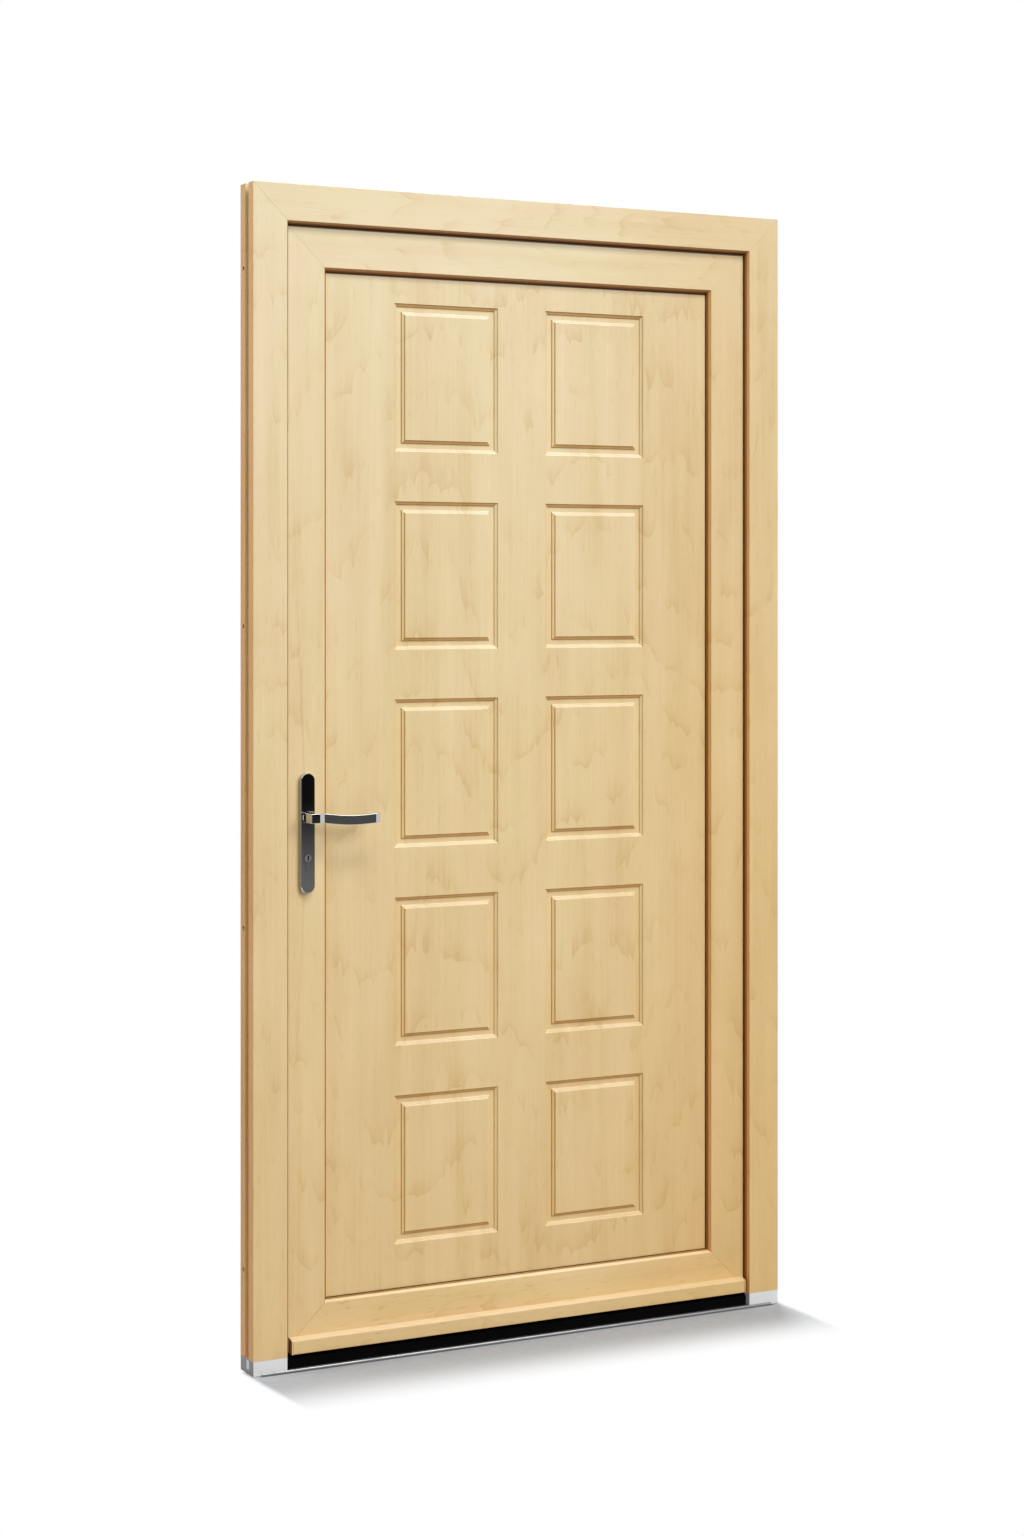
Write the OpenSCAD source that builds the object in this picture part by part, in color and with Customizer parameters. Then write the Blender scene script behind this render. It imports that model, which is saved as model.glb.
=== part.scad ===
/* [Door size] */
// Width of the whole frame
frame_w = 1100; // [900:10:1300]
// Height of the whole frame above the floor
frame_h = 2100; // [2060:10:2400]
// Depth of the frame section
frame_depth = 58; // [56:1:64]
// Width of the frame seen from outside
frame_face = 65; // [62:0.5:70]
// How far the inner edge of the frame slopes inward with depth
frame_bevel = 5; // [1:0.5:6]
// Depth of the outer lip that the leaf closes on
lip_depth = 10; // [8:0.5:12]
// Width of the frame section behind the lip
rebate_w = 50; // [48:0.5:54]

/* [Frame section] */
// Thickness of the walls of the hollow sections
skin = 3; // [2:0.25:3.5]
// Start of the groove along the outer edge, from the front
edge_groove_v = 22; // [18:1:26]
// Width of the groove along the outer edge
edge_groove_w = 14; // [10:1:18]
// Depth of the groove along the outer edge
edge_groove_d = 7; // [4:0.5:8]
// Wall of the steel tubes
steel_t = 2; // [1.25:0.25:3]
// Air between a steel tube and its chamber
steel_air = 0.5; // [0.2:0.1:1]
// Distance that the steel tubes stop short of a mitre
steel_short = 6; // [2:1:20]

/* [Threshold] */
// Height of the end blocks that the jambs stand on
block_h = 26; // [18:1:40]
// Height of the spigot that reaches up into a jamb
spigot_h = 24; // [12:2:40]
// Air around the spigot
spigot_air = 1.5; // [0.5:0.25:3]
// Thickness of the sill plate
sill_t = 4; // [3:0.5:6]
// How far the sill's nose stands in front of the frame
nose_out = 2.5; // [1:0.5:3.5]
// Distance of the nose's ends from the sides of the frame
nose_inset = 16; // [4:1:40]
// Front of the thermal break
break_v = 5; // [3:0.5:7]
// Rear of the thermal break
break_rear = 42; // [41:0.5:46]
// Top of the thermal break above the floor
break_h = 22; // [16:0.5:23.5]
// Top of the inner threshold profile above the floor
inner_h = 24; // [20:0.5:28]
// Slope on the rear edge of the inner threshold profile
inner_chamfer = 4; // [1:0.5:8]

/* [Leaf section] */
// Front face of the leaf behind the frame's front
leaf_front = 14; // [13:0.25:16]
// Thickness of the leaf
leaf_depth = 66; // [62:0.5:72]
// Gap between the leaf's edge and the frame
edge_gap = 12; // [11:0.25:14]
// How far the leaf laps over the frame inside
leaf_cover = 8; // [5:0.5:10]
// Room for the seal between the frame and the leaf's lap
lap_gap = 4; // [3.5:0.25:6]
// Width of the leaf section seen from outside, with the part behind the frame
leaf_face = 81; // [76:1:100]
// Slope of the leaf's inner edge
leaf_bevel = 6; // [1:0.5:9]
// Depth of the lip that the panel lies against
leaf_lip = 9; // [7:0.5:12]
// Width of the hollow body of the leaf section
body_w = 64; // [63:0.5:70]
// Height of the leaf's lower edge above the floor
leaf_bottom = 30; // [28.5:0.5:34]
// Middle of the lock groove in the leaf's edge, from the front
lock_v = 38; // [37:0.25:39]
// Depth of the small chambers behind the faces
small_chamber = 4; // [2:0.5:5]
// Web beside a small chamber
web_t = 2; // [1:0.25:3]

/* [Panel] */
// Thickness of the infill panel
panel_t = 24; // [20:0.5:32]
// Gasket room on each side of the panel
gasket_t = 3; // [2:0.25:5]
// Air between the panel's edge and the leaf
panel_air = 4; // [2:0.5:6]
// Columns of raised fields
field_cols = 2; // [1:1:2]
// Rows of raised fields
field_rows = 5; // [1:1:5]
// Width over the groove of a raised field
field_w = 212; // [120:4:280]
// Height over the groove of a raised field
field_h = 269; // [120:1:340]
// Distance between the columns
field_col_pitch = 312; // [240:2:480]
// Distance between the rows
field_row_pitch = 359; // [290:1:372]
// Height of the middle of the fields above the floor
field_mid_z = 1049; // [1015:1:1095]
// Depth of the groove around a raised field
field_groove_d = 6; // [3:0.5:9]
// Width of the steep edges of each sloping side
field_edge_w = 1.5; // [0.4:0.1:2]
// Width of each sloping side of the groove
field_slope_w = 6.5; // [4:0.5:14]
// Width of the groove's floor
field_floor_w = 8.5; // [2:0.5:12]
// How far the panel gaskets show beside the leaf's lip
gasket_show = 0.6; // [0.2:0.1:3]
// Width of the panel gaskets
gasket_w = 12; // [8:0.5:16]
// Length of a packer
packer_l = 100; // [40:5:120]

/* [Seals] */
// Width of the frame and leaf seals
seal_w = 5; // [3:0.25:7]
// How far the frame seal shows beside the frame's lip
seal_show = 0.75; // [0.5:0.25:2.5]
// Air left in front of a seal's soft face
seal_air = 0.3; // [0.1:0.05:0.8]
// Distance of the leaf seal from the edge of the lap
seal_inset = 2; // [1:0.25:4]
// Width of the brush blade under the leaf
brush_w = 4; // [2:0.5:6]
// Width of the brush carrier
brush_base_w = 12; // [8:0.5:13.5]

/* [Weather bar] */
// Gap between the frame and each end of the weather bar
bar_gap = 9; // [8.5:0.25:14]
// Lower edge of the weather bar above the floor
bar_z = 29; // [20:0.5:34]
// Height of the upright front of the weather bar
bar_front_h = 22; // [14:1:25]
// Height of the weather bar against the leaf
bar_h = 29; // [26:0.5:40]
// Wall of the weather bar
bar_t = 2; // [1.25:0.25:3]
// Radius along the top edge of the weather bar
bar_round = 3; // [1:0.5:5]
// Thickness of the weather bar's end caps
bar_cap_t = 2; // [1:0.25:4]

/* [Lock] */
// Distance from the leaf's edge to the lever and key axes
backset = 45; // [43.5:0.25:46]
// Height of the lever axis above the floor
lever_z = 978; // [950:1:990]
// Distance from the lever axis down to the key axis
key_drop = 72; // [68:0.5:80]
// Width of the lock faceplate
faceplate_w = 20; // [18:0.25:22]
// Thickness of the lock faceplate
faceplate_t = 3; // [2:0.25:4]
// Lower end of the lock faceplate
faceplate_z = 180; // [150:10:240]
// Upper end of the lock faceplate
faceplate_top = 1900; // [1880:10:1950]
// Width of the drive rod groove
rod_groove_w = 14; // [12:0.25:16]
// Depth of the drive rod groove
rod_groove_d = 6; // [4:0.25:8]
// Width of the drive rods
rod_w = 10; // [8:0.5:11.5]
// Thickness of the drive rods
rod_t = 3; // [2:0.25:5]
// Travel of the drive rods
rod_travel = 15; // [10:1:18]
// Thickness of the lock cases
case_t = 15; // [14.25:0.25:17]
// Wall of the lock cases
case_wall = 1.25; // [0.75:0.25:1.5]
// Upper end of the main case above the lever axis
case_up = 47; // [36:1:70]
// Lower end of the main case below the key axis
case_down = 35; // [26:0.5:50]
// Width of a side bolt case
side_case_w = 44; // [34:1:50]
// Height of a side bolt case
side_case_h = 60; // [40:2:70]
// Distance of the side bolts above and below the lever axis
side_bolt_rise = 590; // [560:10:610]
// Thickness of the deadbolts
bolt_t = 9; // [7:0.5:11]
// Height of the deadbolts
bolt_h = 24; // [18:1:30]
// Length of the deadbolts
bolt_l = 30; // [26:0.5:31]
// How far the latch stands out of the faceplate
latch_out = 11; // [7:0.5:11.5]
// Height of the latch
latch_h = 20; // [16:1:22]
// Thickness of the latch
latch_t = 11; // [9:0.5:11.5]
// Length of the latch from its nose
latch_l = 40; // [30:1:44]
// Distance of the latch above the lever axis
latch_rise = 22; // [21:1:28]
// Air around sliding bolts
slide_air = 0.3; // [0.2:0.05:0.5]

/* [Keeps] */
// Thickness of the keeps
keep_t = 8; // [6:0.5:9]
// Width of the keeps
keep_w = 24; // [20:0.5:30]
// Length of the main keep above the lever axis
keep_up = 58; // [50:1:80]
// Length of the main keep below the key axis
keep_down = 46; // [36:1:70]
// Length of a side keep
side_keep_l = 90; // [70:2:130]
// Distance of a keep screw from the keep's end
keep_screw_inset = 11; // [7:0.5:14]
// Depth of the pocket behind a keep
pocket_d = 10; // [9:0.5:14]

/* [Cylinder] */
// Radius of the round part of the cylinder body
cyl_r = 8.5; // [8:0.05:9]
// Width of the flag of the cylinder body
cyl_flag_w = 10; // [9:0.1:11]
// Distance from the key axis to the bottom of the flag
cyl_flag_d = 24.5; // [22:0.1:27]
// Radius of the key plugs
plug_r = 6.5; // [5.5:0.1:7]
// Running clearance of plugs, pins and levers
run_air = 0.05; // [0.02:0.01:0.1]
// Radius swept by the cam
cam_r = 13; // [11:0.25:13.5]
// Width of the cam
cam_w = 10; // [8:0.25:11.5]
// Width of the cam's nose
cam_nose_w = 9; // [6:0.5:11]
// How far the cylinder stands out of the plates
cyl_out = 0.5; // [0.25:0.25:4]
// Width of the keyway
keyway_w = 2.4; // [1.6:0.1:3.2]
// Height of the keyway
keyway_h = 9; // [6:0.25:11]
// Depth of the keyway
keyway_d = 22; // [10:1:30]

/* [Handle] */
// Width of the handle plates
plate_w = 28; // [26:0.5:34]
// Length of the handle plates
plate_l = 214; // [208:1:240]
// Thickness of the handle plates
plate_t = 10; // [8:0.5:12]
// Slope along the edges of the handle plates
plate_chamfer = 1.5; // [1:0.25:4]
// Height of the plate's upper end above the lever axis
plate_up = 79; // [70:0.5:84]
// Radius of the lever's collar
collar_r = 10; // [8.5:0.1:10.5]
// Half height of the lever's grip
grip_r = 8.5; // [6.5:0.1:9.5]
// Thickness of the lever's grip
grip_t = 10; // [7:0.25:13]
// Length of the lever from its axis
lever_l = 128; // [100:1:160]
// How far the lever stands out of its plate
lever_out = 36; // [32:1:56]
// Radius of the bow of the grip
bow_r = 600; // [400:20:1200]
// Radius of the bend between neck and grip
bend_r = 3; // [1:0.5:18]
// Gap that the collar leaves at the leaf's face
collar_gap = 2; // [1:0.25:4]
// Side of the square spindle
spindle_w = 8; // [7:0.1:10]
// Depth of the spindle in each lever
spindle_in = 24; // [14:1:40]
// Radius of the holes in the leaf for the spindle
spindle_hole_r = 8; // [6.5:0.5:9.5]
// Radius of the follower
follower_r = 10.5; // [8:0.25:11.25]
// Distance of the plate screws from the plate's ends
plate_screw_inset = 16; // [12:0.5:20]
// Radius of the plate screws
plate_screw_r = 2.5; // [1.75:0.05:2.9]
// Depth of the plate screws in the outside plate
plate_screw_in = 6; // [3:0.5:8]

/* [Hinges] */
// Height of the lowest hinge above the floor
hinge_low = 280; // [240:10:400]
// Height of the middle hinge above the floor
hinge_mid = 1065; // [950:5:1200]
// Height of the highest hinge above the floor
hinge_high = 1850; // [1700:10:1880]
// Distance of the hinge axis from the side of the frame
hinge_u = 22; // [21:0.5:23]
// Distance of the hinge axis behind the leaf's inner face
hinge_back = 2; // [1.5:0.25:5]
// Radius of the hinge barrel
barrel_r = 9; // [7.5:0.25:11]
// Length of the hinge
hinge_l = 100; // [88:2:120]
// Length of the leaf's knuckle
knuckle_l = 40; // [28:1:56]
// Gap between knuckles
knuckle_gap = 0.2; // [0.2:0.05:0.5]
// Radius of the hinge pin
pin_r = 5; // [4:0.1:6]
// Radius of the hinge pin's button ends
pin_head_r = 7; // [6:0.1:8.5]
// Height of the hinge pin's button ends
pin_head_t = 2; // [1:0.25:5]
// Thickness of the plate on the frame
frame_plate_t = 4; // [3:0.1:5]
// Start of the plate on the frame, from the side
frame_plate_u = 3; // [1:0.25:4]
// Width of the plate on the frame
frame_plate_w = 37; // [34:0.5:38]
// Width of the arm that carries the frame's knuckles
arm_w = 14; // [10:0.5:15]
// Thickness of the plate on the leaf
leaf_plate_t = 5; // [4:0.25:7]
// Start of the wide part of the plate on the leaf, from the axis
leaf_plate_start = 24; // [20.5:0.5:30]
// End of the plate on the leaf, from the axis
leaf_plate_end = 80; // [70:0.5:90]

/* [Screws and fixing holes] */
// Radius of the screws
screw_r = 2.4; // [1.8:0.05:2.6]
// Radius of a countersunk head
head_r = 4.4; // [3.6:0.05:4.8]
// Height of a countersunk head
head_t = 2.4; // [1.6:0.1:2.9]
// Air around screws
screw_air = 0.15; // [0.1:0.05:0.3]
// Length of the screws
screw_l = 22; // [16:0.5:24]
// Distance between the two columns of screws in the leaf's hinge plate
leaf_screw_pitch = 16; // [10:0.5:24]
// Distance of the hinge screws from the hinge's middle
hinge_screw_z = 37; // [32:0.5:43]
// Radius of the fixing holes in the jambs
fix_r = 4; // [3:0.1:5.5]
// Distance of the fixing holes from the front
fix_v = 44; // [42:0.5:48]
// Height of the lowest fixing hole above the floor
fix_low = 180; // [150:10:220]
// Height of the second fixing hole above the floor
fix_mid_low = 783; // [740:1:820]
// Height of the third fixing hole above the floor
fix_mid_high = 1317; // [1270:1:1360]
// Height of the highest fixing hole above the floor
fix_high = 1950; // [1930:10:1980]

/* [Hidden] */
$fn = 96;
half_w = frame_w / 2;
overrun = 1;
half_share = 0.5;
// Depth that each steep edge of a groove's side takes
steep_share = 0.4;
leaf_edge = rebate_w + edge_gap;
lap_edge = rebate_w - leaf_cover;
lap_front = frame_depth + lap_gap;
leaf_rear = leaf_front + leaf_depth;
leaf_open = leaf_edge + leaf_face;
leaf_open_rear = leaf_open + leaf_bevel;
lip_rear = leaf_front + leaf_lip;
leaf_inner = leaf_edge + body_w;
leaf_base = leaf_bottom - leaf_edge;
panel_front = lip_rear + gasket_t;
panel_rear = panel_front + panel_t;
panel_edge = leaf_inner + panel_air;
bead_front = panel_rear + gasket_t;
chamber_u = edge_groove_d + skin;
chamber_end = rebate_w - skin;
chamber_v = lip_depth + skin;
chamber_rear = frame_depth - skin;
seat_u = leaf_edge + faceplate_t;
rod_floor = seat_u + rod_groove_d;
leaf_chamber_u = rod_floor + skin;
leaf_chamber_end = leaf_inner - skin;
leaf_chamber_v = leaf_front + skin + small_chamber + web_t;
leaf_chamber_rear = leaf_rear - skin - small_chamber - web_t;
lock_u = leaf_edge + backset;
key_z = lever_z - key_drop;
plate_top = lever_z + plate_up;
plate_bottom = plate_top - plate_l;
plate_front = leaf_front - plate_t;
plate_rear = leaf_rear + plate_t;
plate_r = plate_w * half_share;
case_u = seat_u + rod_t + slide_air + slide_air;
case_end = leaf_inner - skin - slide_air;
case_top = lever_z + case_up;
case_bottom = key_z - case_down;
upper_z = lever_z + side_bolt_rise;
lower_z = lever_z - side_bolt_rise;
bolt_u = leaf_edge + slide_air;
latch_z = lever_z + latch_rise;
latch_u = leaf_edge - latch_out;
hinge_v = leaf_rear + hinge_back;
hinge_half_l = hinge_l * half_share;
knuckle_half = knuckle_l * half_share;
leaf_knuckle_half = knuckle_half - knuckle_gap;
pin_half = hinge_half_l;
screw_hole_r = screw_r + screw_air;
mid_leaf_v = leaf_front + leaf_depth * half_share;
cyl_front = plate_front - cyl_out;
cyl_rear = plate_rear + cyl_out;
lever_mid = lever_l * half_share;
plug_split = lock_v - cam_w * half_share;
plug_split_rear = lock_v + cam_w * half_share;
frame_screw_us = [frame_plate_u + head_r + overrun, frame_plate_u + frame_plate_w - head_r - overrun];
leaf_screw_end = hinge_u + leaf_plate_end - head_r - overrun;
leaf_screw_us = [leaf_screw_end, leaf_screw_end - leaf_screw_pitch];
main_keep_z = key_z - keep_down;
main_keep_top = lever_z + keep_up;
keep_u = rebate_w;
keep_face = rebate_w + keep_t;
keep_screw_zs = [main_keep_z + keep_screw_inset, main_keep_top - keep_screw_inset,
    upper_z - side_keep_l * half_share + keep_screw_inset,
    upper_z + side_keep_l * half_share - keep_screw_inset,
    lower_z - side_keep_l * half_share + keep_screw_inset,
    lower_z + side_keep_l * half_share - keep_screw_inset];
bolt_zs = [key_z, upper_z, lower_z];
faceplate_screw_shares = [0.02, 0.16, 0.36, 0.64, 0.84, 0.98];
packer_share = 0.3;
fix_zs = [fix_low, fix_mid_low, fix_mid_high, fix_high];
hinge_zs = [hinge_low, hinge_mid, hinge_high];

// Moves from the front-left-floor corner to the part's own frame
module seat() {
    translate([0, -frame_depth * half_share, 0]) children();
}

// Moves to the left side of the frame
module at_left() {
    translate([-half_w, 0, 0]) children();
}

// Gives a copy for the right side
module at_right() {
    mirror([1, 0, 0]) at_left() children();
}

// Extrudes an upright outline from one depth to another
module through(v0, v1) {
    translate([0, v1, 0]) rotate([90, 0, 0]) linear_extrude(v1 - v0) children();
}

// Extrudes a depth and height outline along the width
module across(x0, x1) {
    translate([x0, 0, 0]) rotate([90, 0, 90]) linear_extrude(x1 - x0) children();
}

// A box between two corners given from the left side, the front and the floor
module block(u0, u1, v0, v1, z0, z1) {
    translate([u0, v0, z0]) cube([u1 - u0, v1 - v0, z1 - z0]);
}

// A rod along the depth
module bore_v(u, z, r, v0, v1) {
    translate([u, v1, z]) rotate([90, 0, 0]) cylinder(h = v1 - v0, r = r);
}

// A rod along the width
module bore_u(v, z, r, u0, u1) {
    translate([u0, v, z]) rotate([0, 90, 0]) cylinder(h = u1 - u0, r = r);
}

// A countersunk screw that points down, its head at the top
module screw(r, rh, length) {
    translate([0, 0, -length]) cylinder(h = length - head_t * half_share, r = r);
    translate([0, 0, -head_t]) cylinder(h = head_t, r1 = r, r2 = rh);
}

// The hollow frame section
module frame_section() {
    difference() {
        polygon([[0, 0], [frame_face, 0], [frame_face + frame_bevel, lip_depth], [rebate_w, lip_depth],
            [rebate_w, frame_depth], [0, frame_depth], [0, edge_groove_v + edge_groove_w],
            [edge_groove_d, edge_groove_v + edge_groove_w], [edge_groove_d, edge_groove_v],
            [0, edge_groove_v]]);
        translate([chamber_u, chamber_v])
            square([chamber_end - chamber_u, chamber_rear - chamber_v]);
        translate([skin, skin])
            square([frame_face - skin - skin, lip_depth - skin - skin]);
    }
}

// The hollow leaf section with the groove for the lock in its edge
module leaf_section() {
    seat_half = faceplate_w * half_share;
    rod_half = rod_groove_w * half_share;
    difference() {
        polygon([[leaf_edge, leaf_front], [leaf_open, leaf_front], [leaf_open_rear, lip_rear],
            [leaf_inner, lip_rear], [leaf_inner, leaf_rear], [lap_edge, leaf_rear],
            [lap_edge, lap_front], [leaf_edge, lap_front], [leaf_edge, lock_v + seat_half],
            [seat_u, lock_v + seat_half], [seat_u, lock_v + rod_half], [rod_floor, lock_v + rod_half],
            [rod_floor, lock_v - rod_half], [seat_u, lock_v - rod_half], [seat_u, lock_v - seat_half],
            [leaf_edge, lock_v - seat_half]]);
        translate([leaf_chamber_u, leaf_chamber_v])
            square([leaf_chamber_end - leaf_chamber_u, leaf_chamber_rear - leaf_chamber_v]);
        translate([leaf_edge + skin, leaf_front + skin])
            square([leaf_chamber_end - leaf_edge - skin, small_chamber]);
        translate([lap_edge + skin, leaf_rear - skin - small_chamber])
            square([leaf_chamber_end - lap_edge - skin, small_chamber]);
        translate([leaf_edge + skin, lock_v + seat_half + skin])
            square([rod_floor - leaf_edge - skin, lap_front - lock_v - seat_half - skin - skin]);
    }
}

// The bead section that holds the panel from inside
module bead_section() {
    polygon([[leaf_inner, bead_front], [leaf_open_rear, bead_front],
        [leaf_open_rear, bead_front + leaf_bevel], [leaf_open, leaf_rear], [leaf_inner, leaf_rear]]);
}

// A square tube section
module tube_section(u0, u1, v0, v1) {
    difference() {
        translate([u0, v0]) square([u1 - u0, v1 - v0]);
        translate([u0 + steel_t, v0 + steel_t])
            square([u1 - u0 - steel_t - steel_t, v1 - v0 - steel_t - steel_t]);
    }
}

module frame_tube_section() {
    tube_section(chamber_u + steel_air, chamber_end - steel_air,
        chamber_v + steel_air, chamber_rear - steel_air);
}

module leaf_tube_section() {
    tube_section(leaf_chamber_u + steel_air, leaf_chamber_end - steel_air,
        leaf_chamber_v + steel_air, leaf_chamber_rear - steel_air);
}

// Members with a section given from the outer edge and the front
module upright(z0, z1) {
    at_left() translate([0, 0, z0]) linear_extrude(z1 - z0) children();
}

module top_member(x0, x1) {
    translate([x0, 0, frame_h]) rotate([0, 90, 0]) linear_extrude(x1 - x0) children();
}

module bottom_member(x0, x1) {
    translate([x1, 0, leaf_base]) rotate([0, -90, 0]) linear_extrude(x1 - x0) children();
}

// Outlines that cut the members at their mitres
module side_wedge(reach, low_out, low_in) {
    through(-overrun, leaf_rear + overrun)
        polygon([[-half_w, frame_h], [reach - half_w, frame_h - reach],
            [reach - half_w, low_in], [-half_w, low_out]]);
}

module top_wedge(reach) {
    through(-overrun, leaf_rear + overrun)
        polygon([[-half_w, frame_h], [half_w, frame_h], [half_w - reach, frame_h - reach],
            [reach - half_w, frame_h - reach]]);
}

module bottom_wedge(reach) {
    through(-overrun, leaf_rear + overrun)
        polygon([[-half_w, leaf_base], [half_w, leaf_base],
            [half_w - reach, leaf_base + reach], [reach - half_w, leaf_base + reach]]);
}

// A rectangle at one distance from the frame's edges
module inset_rect(u, low) {
    translate([u - half_w, low]) square([frame_w - u - u, frame_h - u - low]);
}

module leaf_ring(u0, u1, v0, v1) {
    through(v0, v1) difference() {
        inset_rect(u0, leaf_base + u0);
        inset_rect(u1, leaf_base + u1);
    }
}

module jamb_body() {
    reach = frame_face + frame_bevel;
    intersection() {
        upright(block_h, frame_h) frame_section();
        side_wedge(reach, block_h, block_h);
    }
}

module fixing_bores(r) {
    for (z = fix_zs)
        at_left() bore_u(fix_v, z, r, -overrun, rebate_w + overrun);
}

module hinge_frame_screw_bores() {
    for (z = hinge_zs, s = [-1, 1], u = frame_screw_us)
        at_left() bore_v(u, z + s * hinge_screw_z, screw_hole_r,
            frame_depth - screw_l, frame_depth + overrun);
}

module hinge_leaf_screw_bores() {
    for (z = hinge_zs, s = [-1, 1], u = leaf_screw_us)
        at_left() bore_v(u, z + s * hinge_screw_z, screw_hole_r,
            leaf_rear - screw_l, leaf_rear + overrun);
}

module keep_pockets(air) {
    bolt_half = bolt_h * half_share + slide_air + air;
    v_half = bolt_t * half_share + slide_air + air;
    for (z = bolt_zs)
        at_left() block(rebate_w - pocket_d, keep_face + overrun, lock_v - v_half, lock_v + v_half,
            z - bolt_half, z + bolt_half);
}

module keep_screw_bores() {
    for (z = keep_screw_zs)
        at_left() bore_u(lock_v, z, screw_hole_r, keep_face - screw_l, keep_face + overrun);
}

module jamb_left() {
    color("burlywood") seat() difference() {
        jamb_body();
        fixing_bores(fix_r);
        keep_pockets(slide_air);
        keep_screw_bores();
    }
}

module jamb_right() {
    color("burlywood") seat() mirror([1, 0, 0]) difference() {
        jamb_body();
        fixing_bores(fix_r);
        hinge_frame_screw_bores();
    }
}

module head() {
    color("burlywood") seat() intersection() {
        top_member(-half_w, half_w) frame_section();
        top_wedge(frame_face + frame_bevel);
    }
}

module jamb_tube() {
    upright(block_h + steel_short, frame_h - rebate_w - steel_short) frame_tube_section();
}

module jamb_left_steel() {
    color("silver") seat() difference() {
        jamb_tube();
        fixing_bores(fix_r + steel_air);
        keep_pockets(steel_air);
        keep_screw_bores();
    }
}

module jamb_right_steel() {
    color("silver") seat() mirror([1, 0, 0]) difference() {
        jamb_tube();
        fixing_bores(fix_r + steel_air);
        hinge_frame_screw_bores();
    }
}

module head_steel() {
    color("silver") seat()
        top_member(rebate_w + steel_short - half_w, half_w - rebate_w - steel_short) frame_tube_section();
}

// The floor between the end blocks, from one depth to the rear of the thermal break
module threshold_outline(v0) {
    lip_end = half_w - frame_face - frame_bevel;
    floor_end = half_w - rebate_w;
    polygon([[-lip_end, v0], [lip_end, v0], [lip_end, lip_depth], [floor_end, lip_depth],
        [floor_end, break_rear], [-floor_end, break_rear], [-floor_end, lip_depth], [-lip_end, lip_depth]]);
}

module threshold_sill() {
    nose_half = half_w - nose_inset;
    nose_overlap = nose_out * half_share;
    color("gainsboro") seat() {
        linear_extrude(sill_t) threshold_outline(-nose_overlap);
        across(-nose_half, nose_half) intersection() {
            union() {
                translate([0, sill_t - nose_out]) circle(r = nose_out);
                translate([-nose_out, 0]) square([nose_out, sill_t - nose_out]);
            }
            translate([-nose_out, 0]) square([nose_out, sill_t]);
        }
    }
}

module threshold_break() {
    color("black") seat() translate([0, 0, sill_t])
        linear_extrude(break_h - sill_t) threshold_outline(break_v);
}

module threshold_inner() {
    color("gainsboro") seat() across(rebate_w - half_w, half_w - rebate_w)
        polygon([[break_rear, 0], [frame_depth, 0], [frame_depth, inner_h - inner_chamfer],
            [frame_depth - inner_chamfer, inner_h], [break_rear, inner_h]]);
}

module threshold_block() {
    at_left() {
        linear_extrude(block_h)
            polygon([[0, 0], [frame_face, 0], [frame_face + frame_bevel, lip_depth], [rebate_w, lip_depth],
                [rebate_w, frame_depth], [0, frame_depth]]);
        block(chamber_u + steel_air + steel_t + spigot_air, chamber_end - steel_air - steel_t - spigot_air,
            chamber_v + steel_air + steel_t + spigot_air, chamber_rear - steel_air - steel_t - spigot_air,
            block_h - overrun, block_h + spigot_h);
    }
}

module threshold_block_left() {
    color("lightgrey") seat() threshold_block();
}

module threshold_block_right() {
    color("lightgrey") seat() mirror([1, 0, 0]) threshold_block();
}

module frame_seal() {
    seal_end = frame_face + frame_bevel + seal_show;
    color("black") seat() through(lip_depth, leaf_front - seal_air) difference() {
        inset_rect(seal_end - seal_w, block_h);
        inset_rect(seal_end, block_h - overrun);
    }
}

module keep_solid(z0, z1) {
    at_left() block(keep_u, keep_face, lock_v - keep_w * half_share, lock_v + keep_w * half_share, z0, z1);
}

module keep_screw_set(r, rh) {
    for (z = keep_screw_zs)
        at_left() translate([keep_face, lock_v, z]) rotate([0, 90, 0]) screw(r, rh, screw_l);
}

module keep_main() {
    latch_half = latch_h * half_share + slide_air + slide_air;
    latch_v = latch_t * half_share + slide_air;
    color("silver") seat() difference() {
        keep_solid(main_keep_z, main_keep_top);
        keep_pockets(0);
        at_left() block(keep_u - overrun, keep_face + overrun, lock_v - latch_v,
            lock_v + latch_v, latch_z - latch_half, latch_z + latch_half);
        keep_screw_set(screw_hole_r, head_r + screw_air);
    }
}

module side_keeps() {
    color("silver") seat() difference() {
        for (z = [upper_z, lower_z])
            keep_solid(z - side_keep_l * half_share, z + side_keep_l * half_share);
        keep_pockets(0);
        keep_screw_set(screw_hole_r, head_r + screw_air);
    }
}

module keep_screws() {
    color("silver") seat() keep_screw_set(screw_r, head_r);
}

// The part of a hinge that is fixed to the frame, seen from the right side
module hinge_frame_half() {
    difference() {
        union() {
            block(frame_plate_u, frame_plate_u + frame_plate_w, frame_depth, frame_depth + frame_plate_t,
                -hinge_half_l, hinge_half_l);
            for (s = [0, 1])
                mirror([0, 0, s]) {
                    block(hinge_u - arm_w * half_share, hinge_u + arm_w * half_share, frame_depth,
                        hinge_v, knuckle_half, hinge_half_l);
                    translate([hinge_u, hinge_v, knuckle_half])
                        cylinder(h = hinge_half_l - knuckle_half, r = barrel_r);
                }
        }
        translate([hinge_u, hinge_v, -hinge_half_l - overrun])
            cylinder(h = hinge_l + overrun + overrun, r = pin_r + run_air);
        for (s = [-1, 1], u = frame_screw_us)
            translate([u, frame_depth + frame_plate_t, s * hinge_screw_z]) rotate([-90, 0, 0])
                screw(screw_hole_r, head_r + screw_air, screw_l);
    }
}

module hinge_frame_halves() {
    color("silver") seat() at_right()
        for (z = hinge_zs) translate([0, 0, z]) hinge_frame_half();
}

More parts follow.
